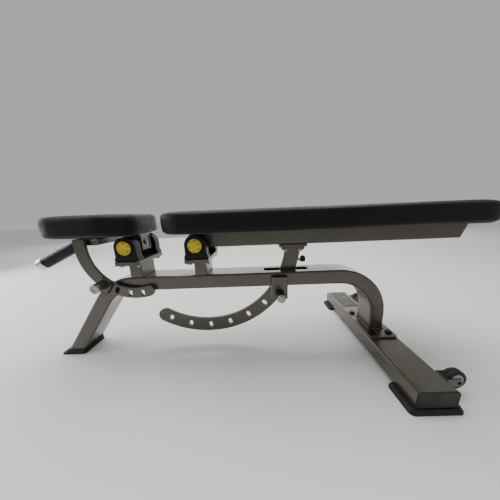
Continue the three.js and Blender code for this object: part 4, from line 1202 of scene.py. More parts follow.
@dataclass
class MainFrame:
    """Bent main tube with its foot flange and front shoe."""

    places: Places
    width: float = 85.0
    depth: float = 45.0
    wall: float = 3.0
    edge: float = 6.0
    beam_z: float = 246.0
    bend: float = 130.0
    leg_angle: float = math.radians(53.5)
    leg_vertex: float = -288.0
    upright: float = 564.0
    flange_bottom: float = 55.6
    flange_top: float = 61.1
    flange_size: Pair = (86.0, 178.0)
    slot: Triple = (197.0, 341.0, 34.0)
    leg_end: float = 5.3

    def path(self) -> tuple[list[Pair], list[float]]:
        """Centres and headings of the tube, from the front foot to the flange."""
        offset = self.places.back_x
        low = self.beam_z - self.bend
        front = self.leg_vertex + self.bend * math.tan(self.leg_angle / 2)
        rear = self.upright - self.bend
        quarter = math.pi / 2
        points: list[Pair] = []
        headings: list[float] = []
        first = arc_points((front, low), self.bend, quarter + self.leg_angle, quarter, 24)
        start_x = self.leg_vertex - (self.beam_z - self.leg_end) / math.tan(self.leg_angle)
        points.append((start_x, self.leg_end))
        headings.append(self.leg_angle)
        points += first
        headings += [self.leg_angle * (1 - step / 24) for step in range(25)]
        points += arc_points((rear, low), self.bend, quarter, 0, 32)
        headings += [-quarter * step / 32 for step in range(33)]
        points.append((self.upright, self.flange_top - 3))
        headings.append(-quarter)
        return [(x + offset, z) for x, z in points], headings

    def section(self, inset: float) -> Outline:
        """Section of the tube, shrunk by an inset."""
        half_width = self.width / 2 - inset
        half_depth = self.depth / 2 - inset
        radius = max(self.edge - inset, 1.2)
        return oblong(0.0, half_width, half_depth, radius, 5)

    def tube(self) -> Solid:
        """The bent tube, hollow, cut level at the foot and slotted for the arc."""
        path, headings = self.path()
        outer = swept_section(path, headings, self.section(0))
        inner = swept_section(path, headings, self.section(self.wall))
        along = Vector((math.cos(self.leg_angle), 0, math.sin(self.leg_angle)))
        for loops in (outer, inner):
            loops[0] = [point + along * ((self.leg_end - point.z) / along.z) for point in loops[0]]
        solid = Solid().loft(outer + list(reversed(inner)), closed=True)
        start, end, width = self.slot
        offset = self.places.back_x
        middle = (start + end) / 2 + offset
        outline = oblong(middle, (end - start) / 2, width / 2, width / 4)
        low, high = self.beam_z - self.depth, self.beam_z + self.depth
        return solid.cut(Solid().plate(outline, low, high, 0.2))

    def flange(self) -> Solid:
        """Plate at the foot of the upright."""
        x = self.upright + self.places.back_x
        half_x, half_y = self.flange_size[0] / 2, self.flange_size[1] / 2
        outline = oblong(x, half_x, half_y, 9.0)
        return Solid().plate(outline, self.flange_bottom, self.flange_top, 1.0)

    def shoe(self) -> Solid:
        """Front shoe: a sole with a sloping socket round the leg."""
        offset = self.places.back_x
        slope = 1 / math.tan(self.leg_angle)
        half = self.depth / 2 / math.sin(self.leg_angle)
        sole_x = middle_of("front_foot").x
        rows = [
            (0.0, 40.2, 46.2, 7.0, False), (1.2, 41.8, 47.8, 8.0, False), (4.6, 41.6, 47.6, 8.0, False),
            (6.0, 40.2, 47.2, 8.0, False), (7.2, half + 5.4, 47.2, 7.0, True),
            (15.6, half + 4.6, 46.9, 7.0, True), (16.8, half + 3.4, 45.6, 6.5, True),
            (16.8, half + 0.8, 43.2, 6.0, True), (5.0, half + 0.4, 42.8, 6.0, True),
        ]
        loops = []
        for z, half_x, half_y, radius, leaning in rows:
            leaning_x = self.leg_vertex + offset - (self.beam_z - z) * slope
            x = leaning_x if leaning else sole_x
            outline = oblong(x, half_x, half_y, radius, 5)
            loops.append(level_loop(outline, z))
        return Solid().loft(loops)

    def build(self, shop: Workshop) -> None:
        """Makes and fits the pieces."""
        finish = shop.palette
        shop.fix("main_tube_bent", self.tube(), finish.paint, "main_tube")
        shop.fix("upright_flange", self.flange(), finish.paint, "main_tube")
        shop.fix("front_shoe", self.shoe(), finish.shoe, "front_foot")
        x = self.upright + self.places.back_x
        half_x, half_y = self.depth / 2 + 1.2, self.width / 2 + 1.2
        bead = bead_round((x - half_x, -half_y), (x + half_x, half_y), self.flange_top + 0.9, 2.4)
        shop.weld("flange_weld", bead)
        for number, _, _ in four_corners():
            node = f"flange_bolt_{number}"
            middle = middle_of(node)
            place = aim((middle.x, middle.y, self.flange_top + 0.1), (0, 0, 1))
            head = bolt_head(8.6, 6.0, place)
            shop.fix(f"flange_bolt_head_{number}", head, finish.black_steel, node)


@dataclass
class RearCrossbar:
    """Crossbar with its plugs, rubber shoes and grit patch."""

    places: Places
    width: float = 92.0
    height: float = 48.0
    wall: float = 3.0
    edge: float = 6.5
    shoe_radius: float = 12.0

    def section(self, x: float, bottom: float, inset: float, radius: float) -> Outline:
        """Section of the crossbar in X and Z, shrunk by an inset."""
        half = self.width / 2 - inset
        top = bottom + self.height - inset
        return rounded_rectangle((x - half, bottom + inset), (x + half, top), (radius, radius))

    def bar(self) -> Solid:
        """The hollow crossbar."""
        low, high = corner_box("base_crossbar")
        x = middle_of("base_crossbar").x
        outer = self.section(x, low.z, 0, self.edge)
        inner = self.section(x, low.z, self.wall, self.edge - self.wall)
        ends = ((outer, low.y), (outer, high.y), (inner, high.y), (inner, low.y))
        return Solid().loft([upright_loop(section, y) for section, y in ends], closed=True)

    def plug(self, label: str, side: int) -> Solid:
        """End plug with a rounded rim and a shallow pressed middle."""
        low, high = corner_box(f"base_end_cap_{label}")
        bar_low, bar_high = corner_box("base_crossbar")
        x = middle_of("base_crossbar").x
        face = high.y if side > 0 else low.y
        seat = bar_high.y + 0.3 if side > 0 else bar_low.y - 0.3
        rows = [
            (seat, 0.0), (face - side * 1.4, 0.0), (face - side * 0.4, 0.5), (face, 1.5), (face, 4.0),
            (face - side * 0.5, 4.8), (face - side * 0.5, 12.0),
        ]
        loops = []
        for y, inset in rows:
            radius = max(self.edge - inset, 1.5)
            loops.append(upright_loop(self.section(x, bar_low.z, inset, radius), y))
        return Solid().loft(loops)

    def shoe(self, label: str, side: int) -> Solid:
        """Rubber shoe with a flared sole and a lip round the crossbar's end."""
        low, high = corner_box(f"base_shoe_{label}")
        bar_low, bar_high = corner_box("base_crossbar")
        rows = [(0.0, 1.4), (0.5, 0.4), (1.6, 0.0), (5.5, 0.3)]
        rows += [(8.5, 2.0), (11.0, 3.4), (12.4, 4.2), (13.0, 5.6)]
        loops = []
        for z, inset in rows:
            corners = (low.x + inset, low.y + inset), (high.x - inset, high.y - inset)
            outline = rounded_rectangle(*corners, (self.shoe_radius, self.shoe_radius))
            loops.append(level_loop(outline, z))
        pocket_low = [bar_low.x - 0.3, -400.0 if side < 0 else low.y - 5, 7.0]
        pocket_high = [bar_high.x + 0.3, high.y + 5 if side < 0 else 400.0, 20.0]
        cap_low, cap_high = corner_box(f"base_end_cap_{label}")
        if side < 0:
            pocket_low[1] = cap_low.y - 0.3
        else:
            pocket_high[1] = cap_high.y + 0.3
        return Solid().loft(loops).cut(Solid().box(pocket_low, pocket_high, 0.2))

    def patch(self) -> Solid:
        """Thin grit patch on the far half."""
        low, high = corner_box("grip_patch")
        outline = rounded_rectangle((low.x, low.y), (high.x, high.y), (4.0, 4.0))
        return Solid().plate(outline, low.z, high.z, 0.3)

    def build(self, shop: Workshop) -> None:
        """Makes and fits the pieces."""
        finish = shop.palette
        shop.fix("crossbar_tube", self.bar(), finish.paint, "base_crossbar")
        for label, side in SIDES:
            plug, shoe = self.plug(label, side), self.shoe(label, side)
            shop.fix(f"crossbar_plug_{label}", plug, finish.plug, f"base_end_cap_{label}")
            shop.fix(f"crossbar_shoe_{label}", shoe, finish.shoe, f"base_shoe_{label}")
        shop.fix("crossbar_patch", self.patch(), finish.grit, "grip_patch")


@dataclass
class PivotStand:
    """One stand with its pair of bearing blocks."""

    places: Places
    owner: str
    pivot_x: float
    post_length: float = 38.0
    post_width: float = 85.0
    foot_half: float = 35.0
    foot_height: float = 11.0
    dome: float = 31.5
    cap_radius: float = 20.0
    boss_radius: float = 25.5
    bolt_x: float = 26.0

    def post(self) -> Solid:
        """Hollow post between the beam and the plate."""
        low, _ = corner_box(f"{self.owner}_stand")
        half_x, half_y = self.post_length / 2, self.post_width / 2
        x = self.pivot_x
        outline = oblong(x, half_x, half_y, 4.5)
        hollow = rounded_rectangle((x - half_x + 3, -half_y + 3), (x + half_x - 3, half_y - 3), (2.0, 2.0))
        return Solid().plate(outline, low.z, 315.6, 0.4, Plane.XY, [hollow])

    def top_plate(self) -> Solid:
        """Plate that the bearing blocks are bolted to."""
        low, high = corner_box(f"{self.owner}_stand")
        outline = rounded_rectangle((low.x, low.y), (high.x, high.y), (7.0, 7.0))
        return Solid().plate(outline, 315.0, high.z, 1.6)

    def block(self, side: int) -> Solid:
        """Bearing block: a foot, a round top, a bore and a raised ring."""
        bottom, centre = 327.3, self.places.pivot_z
        x, foot = self.pivot_x, self.foot_half
        foot_top = bottom + self.foot_height
        shoulder = foot_top + foot - self.dome
        outline: Outline = [(x - foot, bottom), (x + foot, bottom), (x + foot, foot_top - 2.5)]
        outline += [(x + foot - 0.8, foot_top - 0.8), (x + foot - 2.5, foot_top), (x + self.dome, shoulder)]
        outline += arc_points((x, centre), self.dome, 0, math.pi, 36)
        outline += [(x - self.dome, shoulder), (x - foot + 2.5, foot_top), (x - foot + 0.8, foot_top - 0.8)]
        outline += [(x - foot, foot_top - 2.5)]
        low, high = sorted((side * 44.0, side * 74.0))
        solid = Solid().plate(outline, low, high, 1.8, Plane.XZ, [circle((x, centre), 18.8, 48)])
        face = side * 74.0
        ring = [
            (self.cap_radius + 0.4, -1.0), (self.boss_radius, -1.0), (self.boss_radius, 1.2),
            (self.boss_radius - 0.7, 2.1), (self.boss_radius - 2.4, 2.4), (self.cap_radius + 1.0, 2.2),
            (self.cap_radius + 0.4, 1.4),
        ]
        solid.turned(ring, aim((x, face, centre), (0, side, 0)), closed=True)
        inner = aim((x, side * 44.0, centre), (0, -side, 0))
        collar = [(10.6, -1.0), (15.5, -1.0), (15.5, 0.8), (14.8, 1.6), (11.2, 1.6), (10.6, 0.8)]
        return solid.turned(collar, inner, closed=True)

    def cap(self, side: int) -> Solid:
        """Domed cover with a shallow groove and a raised middle."""
        radius = self.cap_radius
        profile = [
            (radius - 0.6, 0.0), (radius, 0.6), (radius, 2.6), (radius - 0.5, 3.5), (radius - 1.6, 3.9),
            (radius * 0.56, 4.0), (radius * 0.53, 3.5), (radius * 0.49, 3.5), (radius * 0.46, 4.0),
            (radius * 0.2, 4.0), (radius * 0.16, 3.7), (0.0, 3.7),
        ]
        return Solid().turned(profile, aim((self.pivot_x, side * 74.3, self.places.pivot_z), (0, side, 0)))

    def cap_marks(self, side: int) -> Solid:
        """Ring of six plain printed arcs on the cover."""
        x, centre = self.pivot_x, self.places.pivot_z
        solid = Solid()
        low, high = sorted((side * 78.2, side * 78.42))
        for index in range(6):
            middle = math.radians(60 * index + 20)
            half = math.radians(19 if index % 2 else 13)
            outline = arc_points((x, centre), 16.3, middle - half, middle + half, 10)
            outline += arc_points((x, centre), 14.0, middle + half, middle - half, 10)
            solid.plate(outline, low, high, 0.05, Plane.XZ)
        return solid

    def build(self, shop: Workshop) -> None:
        """Makes and fits the pieces."""
        finish = shop.palette
        owner, x = self.owner, self.pivot_x
        shop.fix(f"{owner}_stand_post", self.post(), finish.paint, f"{owner}_stand")
        shop.fix(f"{owner}_stand_plate", self.top_plate(), finish.paint, f"{owner}_stand")
        half_x, half_y = self.post_length / 2 + 0.8, self.post_width / 2 - 3.0
        bead = bead_round((x - half_x, -half_y), (x + half_x, half_y), 269.6, 1.7)
        shop.weld(f"{owner}_stand_weld", bead)
        upper = bead_round((x - half_x, -half_y), (x + half_x, half_y), 314.4, 1.6)
        shop.weld(f"{owner}_plate_weld", upper)
        for label, side in SIDES:
            node = f"{owner}_bearing"
            block, cap = self.block(side), self.cap(side)
            shop.fix(f"{node}_housing_{label}", block, finish.housing, f"{node}_block_{label}")
            shop.fix(f"{node}_cover_{label}", cap, finish.yellow, f"{node}_cap_{label}")
            shop.fit(f"{node}_marks_{label}", self.cap_marks(side), finish.print_black, Body.FRAME)
            shop.dress(f"{node}_ring_{label}", finish.zinc)
            for end, which in ((-1, "front"), (1, "rear")):
                place = aim((x + end * self.bolt_x, side * 59.0, 314.9), (0, 0, -1))
                head = bolt_head(7.4, 5.4, place)
                stands_for = [f"{node}_bolt_{label}"] if end < 0 else []
                shop.fit(f"{node}_bolt_{which}_{label}", head, finish.zinc, Body.FRAME, stands_for)


# ---- pads


@dataclass(frozen=True)
class Swelling:
    """How the cushions swell as cloth."""

    frames: int = 20
    quality: int = 5
    mass: float = 0.4
    tension: float = 20.0
    compression: float = 12.0
    bending: float = 1.5
    pressure: float = 4.0
    cap: float = 6.0
    give: float = 0.3
    held_height: float = 5.0

    def add_to(self, piece: Item, held: str) -> None:
        """Adds the cloth to a piece, held by one of its vertex groups."""
        cloth = piece.modifiers.new("swell", "CLOTH")
        settings = cloth.settings
        settings.quality = self.quality
        settings.mass = self.mass
        settings.tension_stiffness = self.tension
        settings.compression_stiffness = self.compression
        settings.bending_stiffness = self.bending
        settings.use_pressure = True
        settings.uniform_pressure_force = self.pressure
        settings.vertex_group_mass = held
        settings.effector_weights.gravity = 0.0
        cloth.point_cache.frame_start = 1
        cloth.point_cache.frame_end = self.frames


@dataclass
class Pad:
    """A vinyl pad on its board."""

    owner: str
    body: Body
    finish: PadVinyl
    front_radius: float
    rear_radius: float
    front_slant: float
    rear_slant: float
    voxel: float = 0.0052
    fill: float = 0.7
    edge: float = 12.0
    start_inset: float = 1.8
    slant_reach: float = 90.0
    swelling: Swelling = Swelling()
    crown: float = 3.0
    under: float = 404.6

    def plan(self, low: Vector, high: Vector, inset: float) -> Outline:
        """Plan of the pad, shrunk by an inset."""
        radii = (max(self.front_radius - inset, 4.0), max(self.rear_radius - inset, 4.0))
        return rounded_rectangle((low.x + inset, low.y + inset), (high.x - inset, high.y - inset), radii, 14)

    def blank(self) -> Solid:
        """The cushion before it swells."""
        low, high = corner_box(f"{self.owner}_pad")
        inset, edge = self.start_inset, self.edge
        top = high.z - self.crown - 1.0
        rows = [(self.under, inset + 9.0), (self.under + 0.6, inset + 5.0), (self.under + 3.0, inset + 1.6)]
        rows += [(self.under + 7.0, inset)]
        for step in range(1, 9):
            turn = math.pi / 2 * step / 8
            rows.append((top - edge + edge * math.sin(turn), inset + edge * (1 - math.cos(turn))))
        rows += [(top + self.crown * 0.5, inset + edge + 22.0), (top + self.crown * 0.8, inset + edge + 50.0)]
        rows += [(top + self.crown, inset + edge + 80.0)]
        loops = []
        for z, step_in in rows:
            loop = []
            for x, y in self.plan(low, high, step_in):
                drop = (high.z - z) / (high.z - low.z)
                front = max(0.0, 1 - (x - low.x) / self.slant_reach) ** 1.5
                rear = max(0.0, 1 - (high.x - x) / self.slant_reach) ** 1.5
                leaning_x = x + self.front_slant * drop * front - self.rear_slant * drop * rear
                loop.append(Vector((leaning_x, y, z)))
            loops.append(loop)
        return Solid().loft(loops)

    def swell(self, piece: Item) -> None:
        """Swells the cushion as cloth and keeps the result.

        Args:
            piece: The cushion, in metres, with no modifiers.
        """
        scene = bpy.context.scene
        remesh = piece.modifiers.new("even_mesh", "REMESH")
        remesh.mode = "VOXEL"
        remesh.voxel_size = self.voxel
        self._apply(piece)
        start = [vertex.co.copy() for vertex in piece.data.vertices]
        held = piece.vertex_groups.new(name="held")
        floor = (self.under + self.swelling.held_height) * MM
        held.add([v.index for v in piece.data.vertices if v.co.z < floor], 1.0, "REPLACE")
        self.swelling.add_to(piece, "held")
        for step in range(1, self.swelling.frames + 1):
            scene.frame_set(step)
        self._apply(piece)
        scene.frame_set(1)
        limit = self.swelling.cap * MM
        for vertex, first in zip(piece.data.vertices, start):
            shift = vertex.co - first
            if shift.length > limit:
                shift = shift.normalized() * limit
            vertex.co = first + shift * self.swelling.give
        self.shape_details(piece)
        finer = piece.modifiers.new("finer", "SUBSURF")
        finer.levels = 1
        finer.render_levels = 1
        self._apply(piece)

    def shape_details(self, piece: Item) -> None:
        """Pulls in the seams, and keeps the cushion inside its room."""
        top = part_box(f"{self.owner}_pad")[1].z
        side, rim, reach, depth, room = 0.1, 0.008, 0.0035, 0.0016, 0.002
        for vertex in piece.data.vertices:
            point = vertex.co
            if abs(point.y) > side and point.z < top - rim:
                outward = Vector((0, point.y, 0)).normalized()
                for seam in self.finish.seams:
                    near = math.exp(-(((point.x - seam * MM) / reach) ** 2))
                    point -= outward * depth * near
            point.z = min(point.z, top + room)

    @staticmethod
    def _apply(piece: Item) -> None:
        """Bakes a piece's modifiers into its mesh."""
        bpy.context.view_layer.update()
        graph = bpy.context.evaluated_depsgraph_get()
        made = bpy.data.meshes.new_from_object(piece.evaluated_get(graph))
        piece.modifiers.clear()
        piece.vertex_groups.clear()
        old = piece.data
        piece.data = made
        bpy.data.meshes.remove(old)

    def board(self) -> Solid:
        """Board under the cushion, with rounded rims."""
        low, high = corner_box(f"{self.owner}_board")
        radii = (self.front_radius - 10.0, self.rear_radius - 10.0)
        slant = max(self.front_slant - 4.0, 0.0)
        outline = rounded_rectangle((low.x + slant + 3, low.y + 4), (high.x - 3, high.y - 4), radii, 12)
        return Solid().plate(outline, low.z, high.z, 1.2)

    def staples(self) -> Solid:
        """Staples that hold the cover under the board."""
        low, high = corner_box(f"{self.owner}_board")
        solid = Solid()
        outline = rounded_rectangle((low.x + 24, low.y + 14), (high.x - 14, high.y - 14), (60.0, 50.0), 6)
        spacing = 30.0
        travelled = 0.0
        for index, (x, y) in enumerate(outline):
            after = outline[(index + 1) % len(outline)]
            run = Vector((after[0] - x, after[1] - y, 0))
            length = run.length
            while travelled < length:
                middle = Vector((x, y, low.z - 0.1)) + run.normalized() * travelled
                half = run.normalized() * 4.5
                solid.cord([middle - half, middle, middle + half], 0.5, steps=6)
                travelled += spacing
            travelled -= length
        return solid

    def build(self, shop: Workshop) -> None:
        """Makes and fits the cushion, its board and its staples."""
        data = self.blank().to_mesh(f"{self.owner}_cushion")
        data.transform(Matrix.Scale(MM, 4))
        cushion = stand(f"{self.owner}_cushion", data)
        self.swell(cushion)
        shop.settle(cushion, self.finish, self.body, [f"{self.owner}_pad"], sharp=80)
        palette = shop.palette
        shop.fit(f"{self.owner}_board_panel", self.board(), palette.board, self.body, [f"{self.owner}_board"])
        shop.fit(f"{self.owner}_staples", self.staples(), palette.zinc, self.body, sharp=80)


# ---- backrest


@dataclass
class BackrestFrame:
    """Backrest tube, bolted joint, locking arc, stop and shaft."""

    places: Places
    size: float = 50.0
    wall: float = 3.0
    front: float = -30.0
    rear: float = 797.0
    slant: float = 19.0
    top: float = 402.7
    arc_thickness: float = 10.0
    arc_top: float = 340.4
    tip_hole: float = 123.2
    tip_hole_radius: float = 3.0
    joint_x: float = 289.0
    plate_thickness: float = 8.0
    stop_z: float = 298.0

    def tube(self) -> Solid:
        """Square tube, open at the front and closed at its slanted tail."""
        offset = self.places.back_x
        centre = self.top - self.size / 2

        def loop(inset: float, radius: float, x: float, slanted: bool) -> list[Vector]:
            """One section of the tube."""
            half = self.size / 2 - inset
            points = []
            for y, z in rounded_rectangle((-half, centre - half), (half, centre + half), (radius, radius), 5):
                lean = self.slant * (z - centre + self.size / 2) / self.size if slanted else 0.0
                points.append(Vector((x + offset + lean, y, z)))
            return points

        wall, front, rear = self.wall, self.front, self.rear
        rows = [
            (wall, 2.0, rear - 6, True), (wall, 2.0, front, False), (0.4, 3.8, front, False),
            (0.0, 4.0, front + 0.4, False), (0.0, 4.0, rear - 1.0, True), (0.3, 3.8, rear - 0.3, True),
            (1.0, 3.2, rear, True),
        ]
        return Solid().loft([loop(*row) for row in rows])

    def arc(self) -> Solid:
        """Curved locking plate with slots."""
        arc = self.places.back_arc()
        cut = arc.pivot_z - self.arc_top
        outer_start = math.degrees(math.asin(cut / arc.outer))
        inner_start = math.degrees(math.asin(cut / arc.inner))
        outline = arc.run(arc.outer, outer_start, arc.tip, 72)
        start = -math.radians(arc.tip)
        centre = arc.below(arc.middle, arc.tip)
        outline += arc_points(centre, (arc.outer - arc.inner) / 2, start, start - math.pi, 20)[1:-1]
        outline += arc.run(arc.inner, arc.tip, inner_start, 72)
        outline.reverse()
        holes = arc.slot_outlines()
        holes.append(circle(arc.below(arc.middle, self.tip_hole), self.tip_hole_radius, 20))
        half = self.arc_thickness / 2
        return Solid().plate(outline, -half, half, arc.rim, Plane.XZ, holes)

    def joint_plate(self, length: float, width: float, low: float) -> Solid:
        """One plate of the bolted joint."""
        x = self.joint_x + self.places.back_x
        outline = oblong(x, length / 2, width / 2, 5.0)
        return Solid().plate(outline, low, low + self.plate_thickness, 1.2)

    def stop(self) -> tuple[Solid, Solid]:
        """Stud and rubber dome of the stop."""
        low, high = corner_box("stop_bumper")
        centre = high.x - 9.0
        stud = Solid().bar(4.0, (low.x, 0, self.stop_z), (centre, 0, self.stop_z))
        profile = [
            (0.0, 0.0), (7.6, 0.0), (8.8, 1.0), (9.0, 2.4), (9.0, 10.0), (8.4, 13.6), (6.6, 17.0),
            (3.8, 19.3), (0.0, 20.0),
        ]
        return stud, Solid().turned(profile, aim((centre, 0, low.z), (0, 0, 1)))

    def build(self, shop: Workshop) -> None:
        """Makes and fits the pieces."""
        finish = shop.palette
        body = Body.BACKREST
        shop.fit("backrest_tube", self.tube(), finish.paint, body, ["back_tube"])
        upper, lower = self.joint_plate(87.0, 60.0, 344.7), self.joint_plate(72.0, 56.0, 336.4)
        shop.fit("joint_plate_upper", upper, finish.paint, body, ["back_tube"])
        shop.fit("locking_arc", self.arc(), finish.paint, body, ["back_arc_plate"])
        shop.fit("joint_plate_lower", lower, finish.paint, body, ["back_arc_plate"])
        x = self.joint_x + self.places.back_x
        arc_beads = bead_pair((x - 25, 5.6, 335.8), 1.5, 17, 1.7)
        shop.weld("arc_weld", arc_beads, body)
        tube_beads = bead_pair((x - 40, 25.4, 353.0), 1.6, 51, 1.8)
        shop.weld("joint_weld", tube_beads, body)
        for number, side_x, side_y in four_corners():
            place = aim((x + side_x * 24.0, side_y * 18.0, 336.2), (0, 0, -1))
            head = bolt_head(6.8, 5.2, place)
            shop.fit(f"joint_bolt_{number}", head, finish.zinc, body, [f"arc_bolt_{number}"])
        stud, dome = self.stop()
        shop.fit("stop_stud", stud, finish.zinc, body, ["stop_bumper"])
        shop.fit("stop_dome", dome, finish.shoe, body, ["stop_bumper"])
        shop.fit("backrest_shaft", pivot_shaft("back_shaft"), finish.zinc, body, ["back_shaft"])


# ---- seat


@dataclass
class SeatFrame:
    """Seat bar, pivot block, cross tube, locking arc and carrying handle."""

    places: Places
    top: float = 402.7
    bar_thickness: float = 8.0
    bar_front: float = -405.0
    bar_half_width: float = 30.0
    block: Triple = (26.0, 25.0, 50.0)
    block_wall: float = 3.0
    cross_tube: Triple = (26.0, 52.0, 20.0)
    cross_wall: float = 2.5
    cross_half_width: float = 46.7
    near_face: float = -57.0
    far_face: float = -47.0
    slope: float = math.radians(24.3)
    handle_end: Pair = (-537.0, 310.0)
    grip_length: float = 138.0
    grip_radius: float = 18.0
    cap_radius: float = 20.0
    cap_length: float = 22.0
    tube_radius: float = 11.0
    tube_length: float = 168.0

    def welded(self) -> Solid:
        """Bar, pivot block and cross tube."""
        offset = self.places.back_x
        seat_x = self.places.seat_x
        bottom = self.top - self.bar_thickness
        half = self.bar_half_width
        front = offset + self.bar_front
        solid = Solid().box((front, -half, bottom), (seat_x + self.block[0], half, self.top), 1.0)
        self._add_block(solid, seat_x, bottom)
        arm = seat_x - self.places.seat_arc().middle
        before, after, height = self.cross_tube
        front, rear = arm - before, arm + after
        wall, side = self.cross_wall, self.cross_half_width
        outer = rounded_rectangle((front, bottom - height), (rear, bottom - 0.2), (4.0, 4.0), 4)
        inner = rounded_rectangle(
            (front + wall, bottom - height + wall), (rear - wall, bottom - 0.2 - wall), (2.0, 2.0), 4
        )
        sections = ((-side, outer), (side, outer), (side, inner), (-side, inner))
        return solid.loft([upright_loop(section, y) for y, section in sections], closed=True)

    def _add_block(self, solid: Solid, seat_x: float, bottom: float) -> None:
        """Adds the pivot block, its rear end closed by a plate with a boss."""
        rear, half, depth = self.block
        wall = self.block_wall
        low = self.top - depth
        outer = rounded_rectangle((-half, low), (half, bottom + 0.5), (4.0, 4.0), 4)
        high = bottom + 0.5 - wall
        inner = rounded_rectangle((-half + wall, low + wall), (half - wall, high), (2.0, 2.0), 4)
        loops = []
        for x, section in ((2.0 - rear, outer), (rear, outer), (rear, inner), (2.0 - rear, inner)):
            loops.append([Vector((seat_x + x, y, z)) for y, z in section])
        solid.loft(loops, closed=True)
        end, reach = rear - 2.0, half - wall + 0.2
        solid.box((seat_x + end - 6.0, -reach, low + wall - 0.2), (seat_x + end, reach, bottom - 2.3), 0.5)
        boss = [(0.0, -0.5), (8.0, -0.5), (8.0, 3.4), (7.0, 4.4), (0.0, 4.8)]
        solid.turned(boss, aim((seat_x + end, 0.0, (low + wall + bottom) / 2), (1, 0, 0)))

    def arc(self) -> Solid:
        """Seat locking arc with its straight arm."""
        arc = self.places.seat_arc()
        top = self.top - self.bar_thickness - 0.1
        outline = [(arc.pivot_x - arc.inner, top), (arc.pivot_x - arc.outer, top)]
        outline += arc.run(arc.outer, 180, arc.tip, 40)
        start = -math.radians(arc.tip)
        centre = arc.below(arc.middle, arc.tip)
        outline += arc_points(centre, (arc.outer - arc.inner) / 2, start, start + math.pi, 18)[1:-1]
        outline += arc.run(arc.inner, arc.tip, 180, 40)
        return Solid().plate(outline, self.near_face, self.far_face, arc.rim, Plane.XZ, arc.slot_outlines())

    def on_handle(self, distance: float) -> Vector:
        """A point on the handle's axis, by its distance from the lower end."""
        x, z = self.handle_end[0] + self.places.back_x, self.handle_end[1]
        return Vector((x + distance * math.cos(self.slope), 0, z + distance * math.sin(self.slope)))

    def handle_place(self) -> Matrix:
        """Frame whose local +Z runs up the handle from its lower end."""
        return aim(self.on_handle(0), self.on_handle(1) - self.on_handle(0))

    def grip(self) -> Solid:
        """Rubber sleeve with rounded ends and shallow end rings."""
        start, end = self.cap_length + 0.3, self.cap_length + 0.3 + self.grip_length
        radius = self.grip_radius
        profile = [
            (11.3, start), (radius - 1.5, start), (radius - 0.3, start + 0.8), (radius, start + 2.0),
            (radius, start + 9.0), (radius - 0.6, start + 9.8), (radius - 0.6, start + 11.0),
            (radius, start + 11.8), (radius, end - 11.8), (radius - 0.6, end - 11.0),
            (radius - 0.6, end - 9.8), (radius, end - 9.0), (radius, end - 3.0), (radius - 0.7, end - 1.0),
            (radius - 2.0, end), (11.3, end),
        ]
        return Solid().turned(profile, self.handle_place(), closed=True)

    def end_cap(self) -> Solid:
        """Chrome cap with a rolled rim."""
        radius, end = self.cap_radius, self.cap_length
        profile = [
            (0.0, 0.6), (radius - 8.0, 0.3), (radius - 4.5, 0.0), (radius - 2.0, 0.6), (radius - 0.5, 2.0),
            (radius, 4.0), (radius, end - 3.4), (radius - 0.4, end - 1.4), (radius - 1.4, end - 0.2),
            (radius - 3.6, end), (0.0, end),
        ]
        return Solid().turned(profile, self.handle_place())

    def build(self, shop: Workshop) -> None:
        """Makes and fits the pieces."""
        finish = shop.palette
        body = Body.SEAT
        shop.fit("seat_frame_welded", self.welded(), finish.paint, body, ["seat_frame"])
        start = self.cap_length + 0.3
        end = start + self.tube_length
        tube = Solid().bar(self.tube_radius, self.on_handle(start), self.on_handle(end), 0.4)
        shop.fit("handle_tube", tube, finish.paint, body, ["seat_frame"])
        shop.fit("seat_locking_arc", self.arc(), finish.paint, body, ["seat_arc_plate"])
        shop.fit("handle_sleeve", self.grip(), finish.grip, body, ["handle_grip"])
        shop.fit("handle_end_cap", self.end_cap(), finish.chrome, body, ["handle_cap"])
        shop.fit("seat_pivot_shaft", pivot_shaft("seat_shaft"), finish.zinc, body, ["seat_shaft"])


# ---- spring pins


@dataclass
class SpringPin:
    """A spring pin that stands across the first slot of its locking arc."""

    arc: LockingArc
    barrel: float = 14.0
    beam_face: float = -42.8

    def outward(self, y: float) -> Matrix:
        """A place on the pin's axis that faces the near side."""
        x, z = self.arc.first_hole()
        return aim((x, y, z), (0, -1, 0))


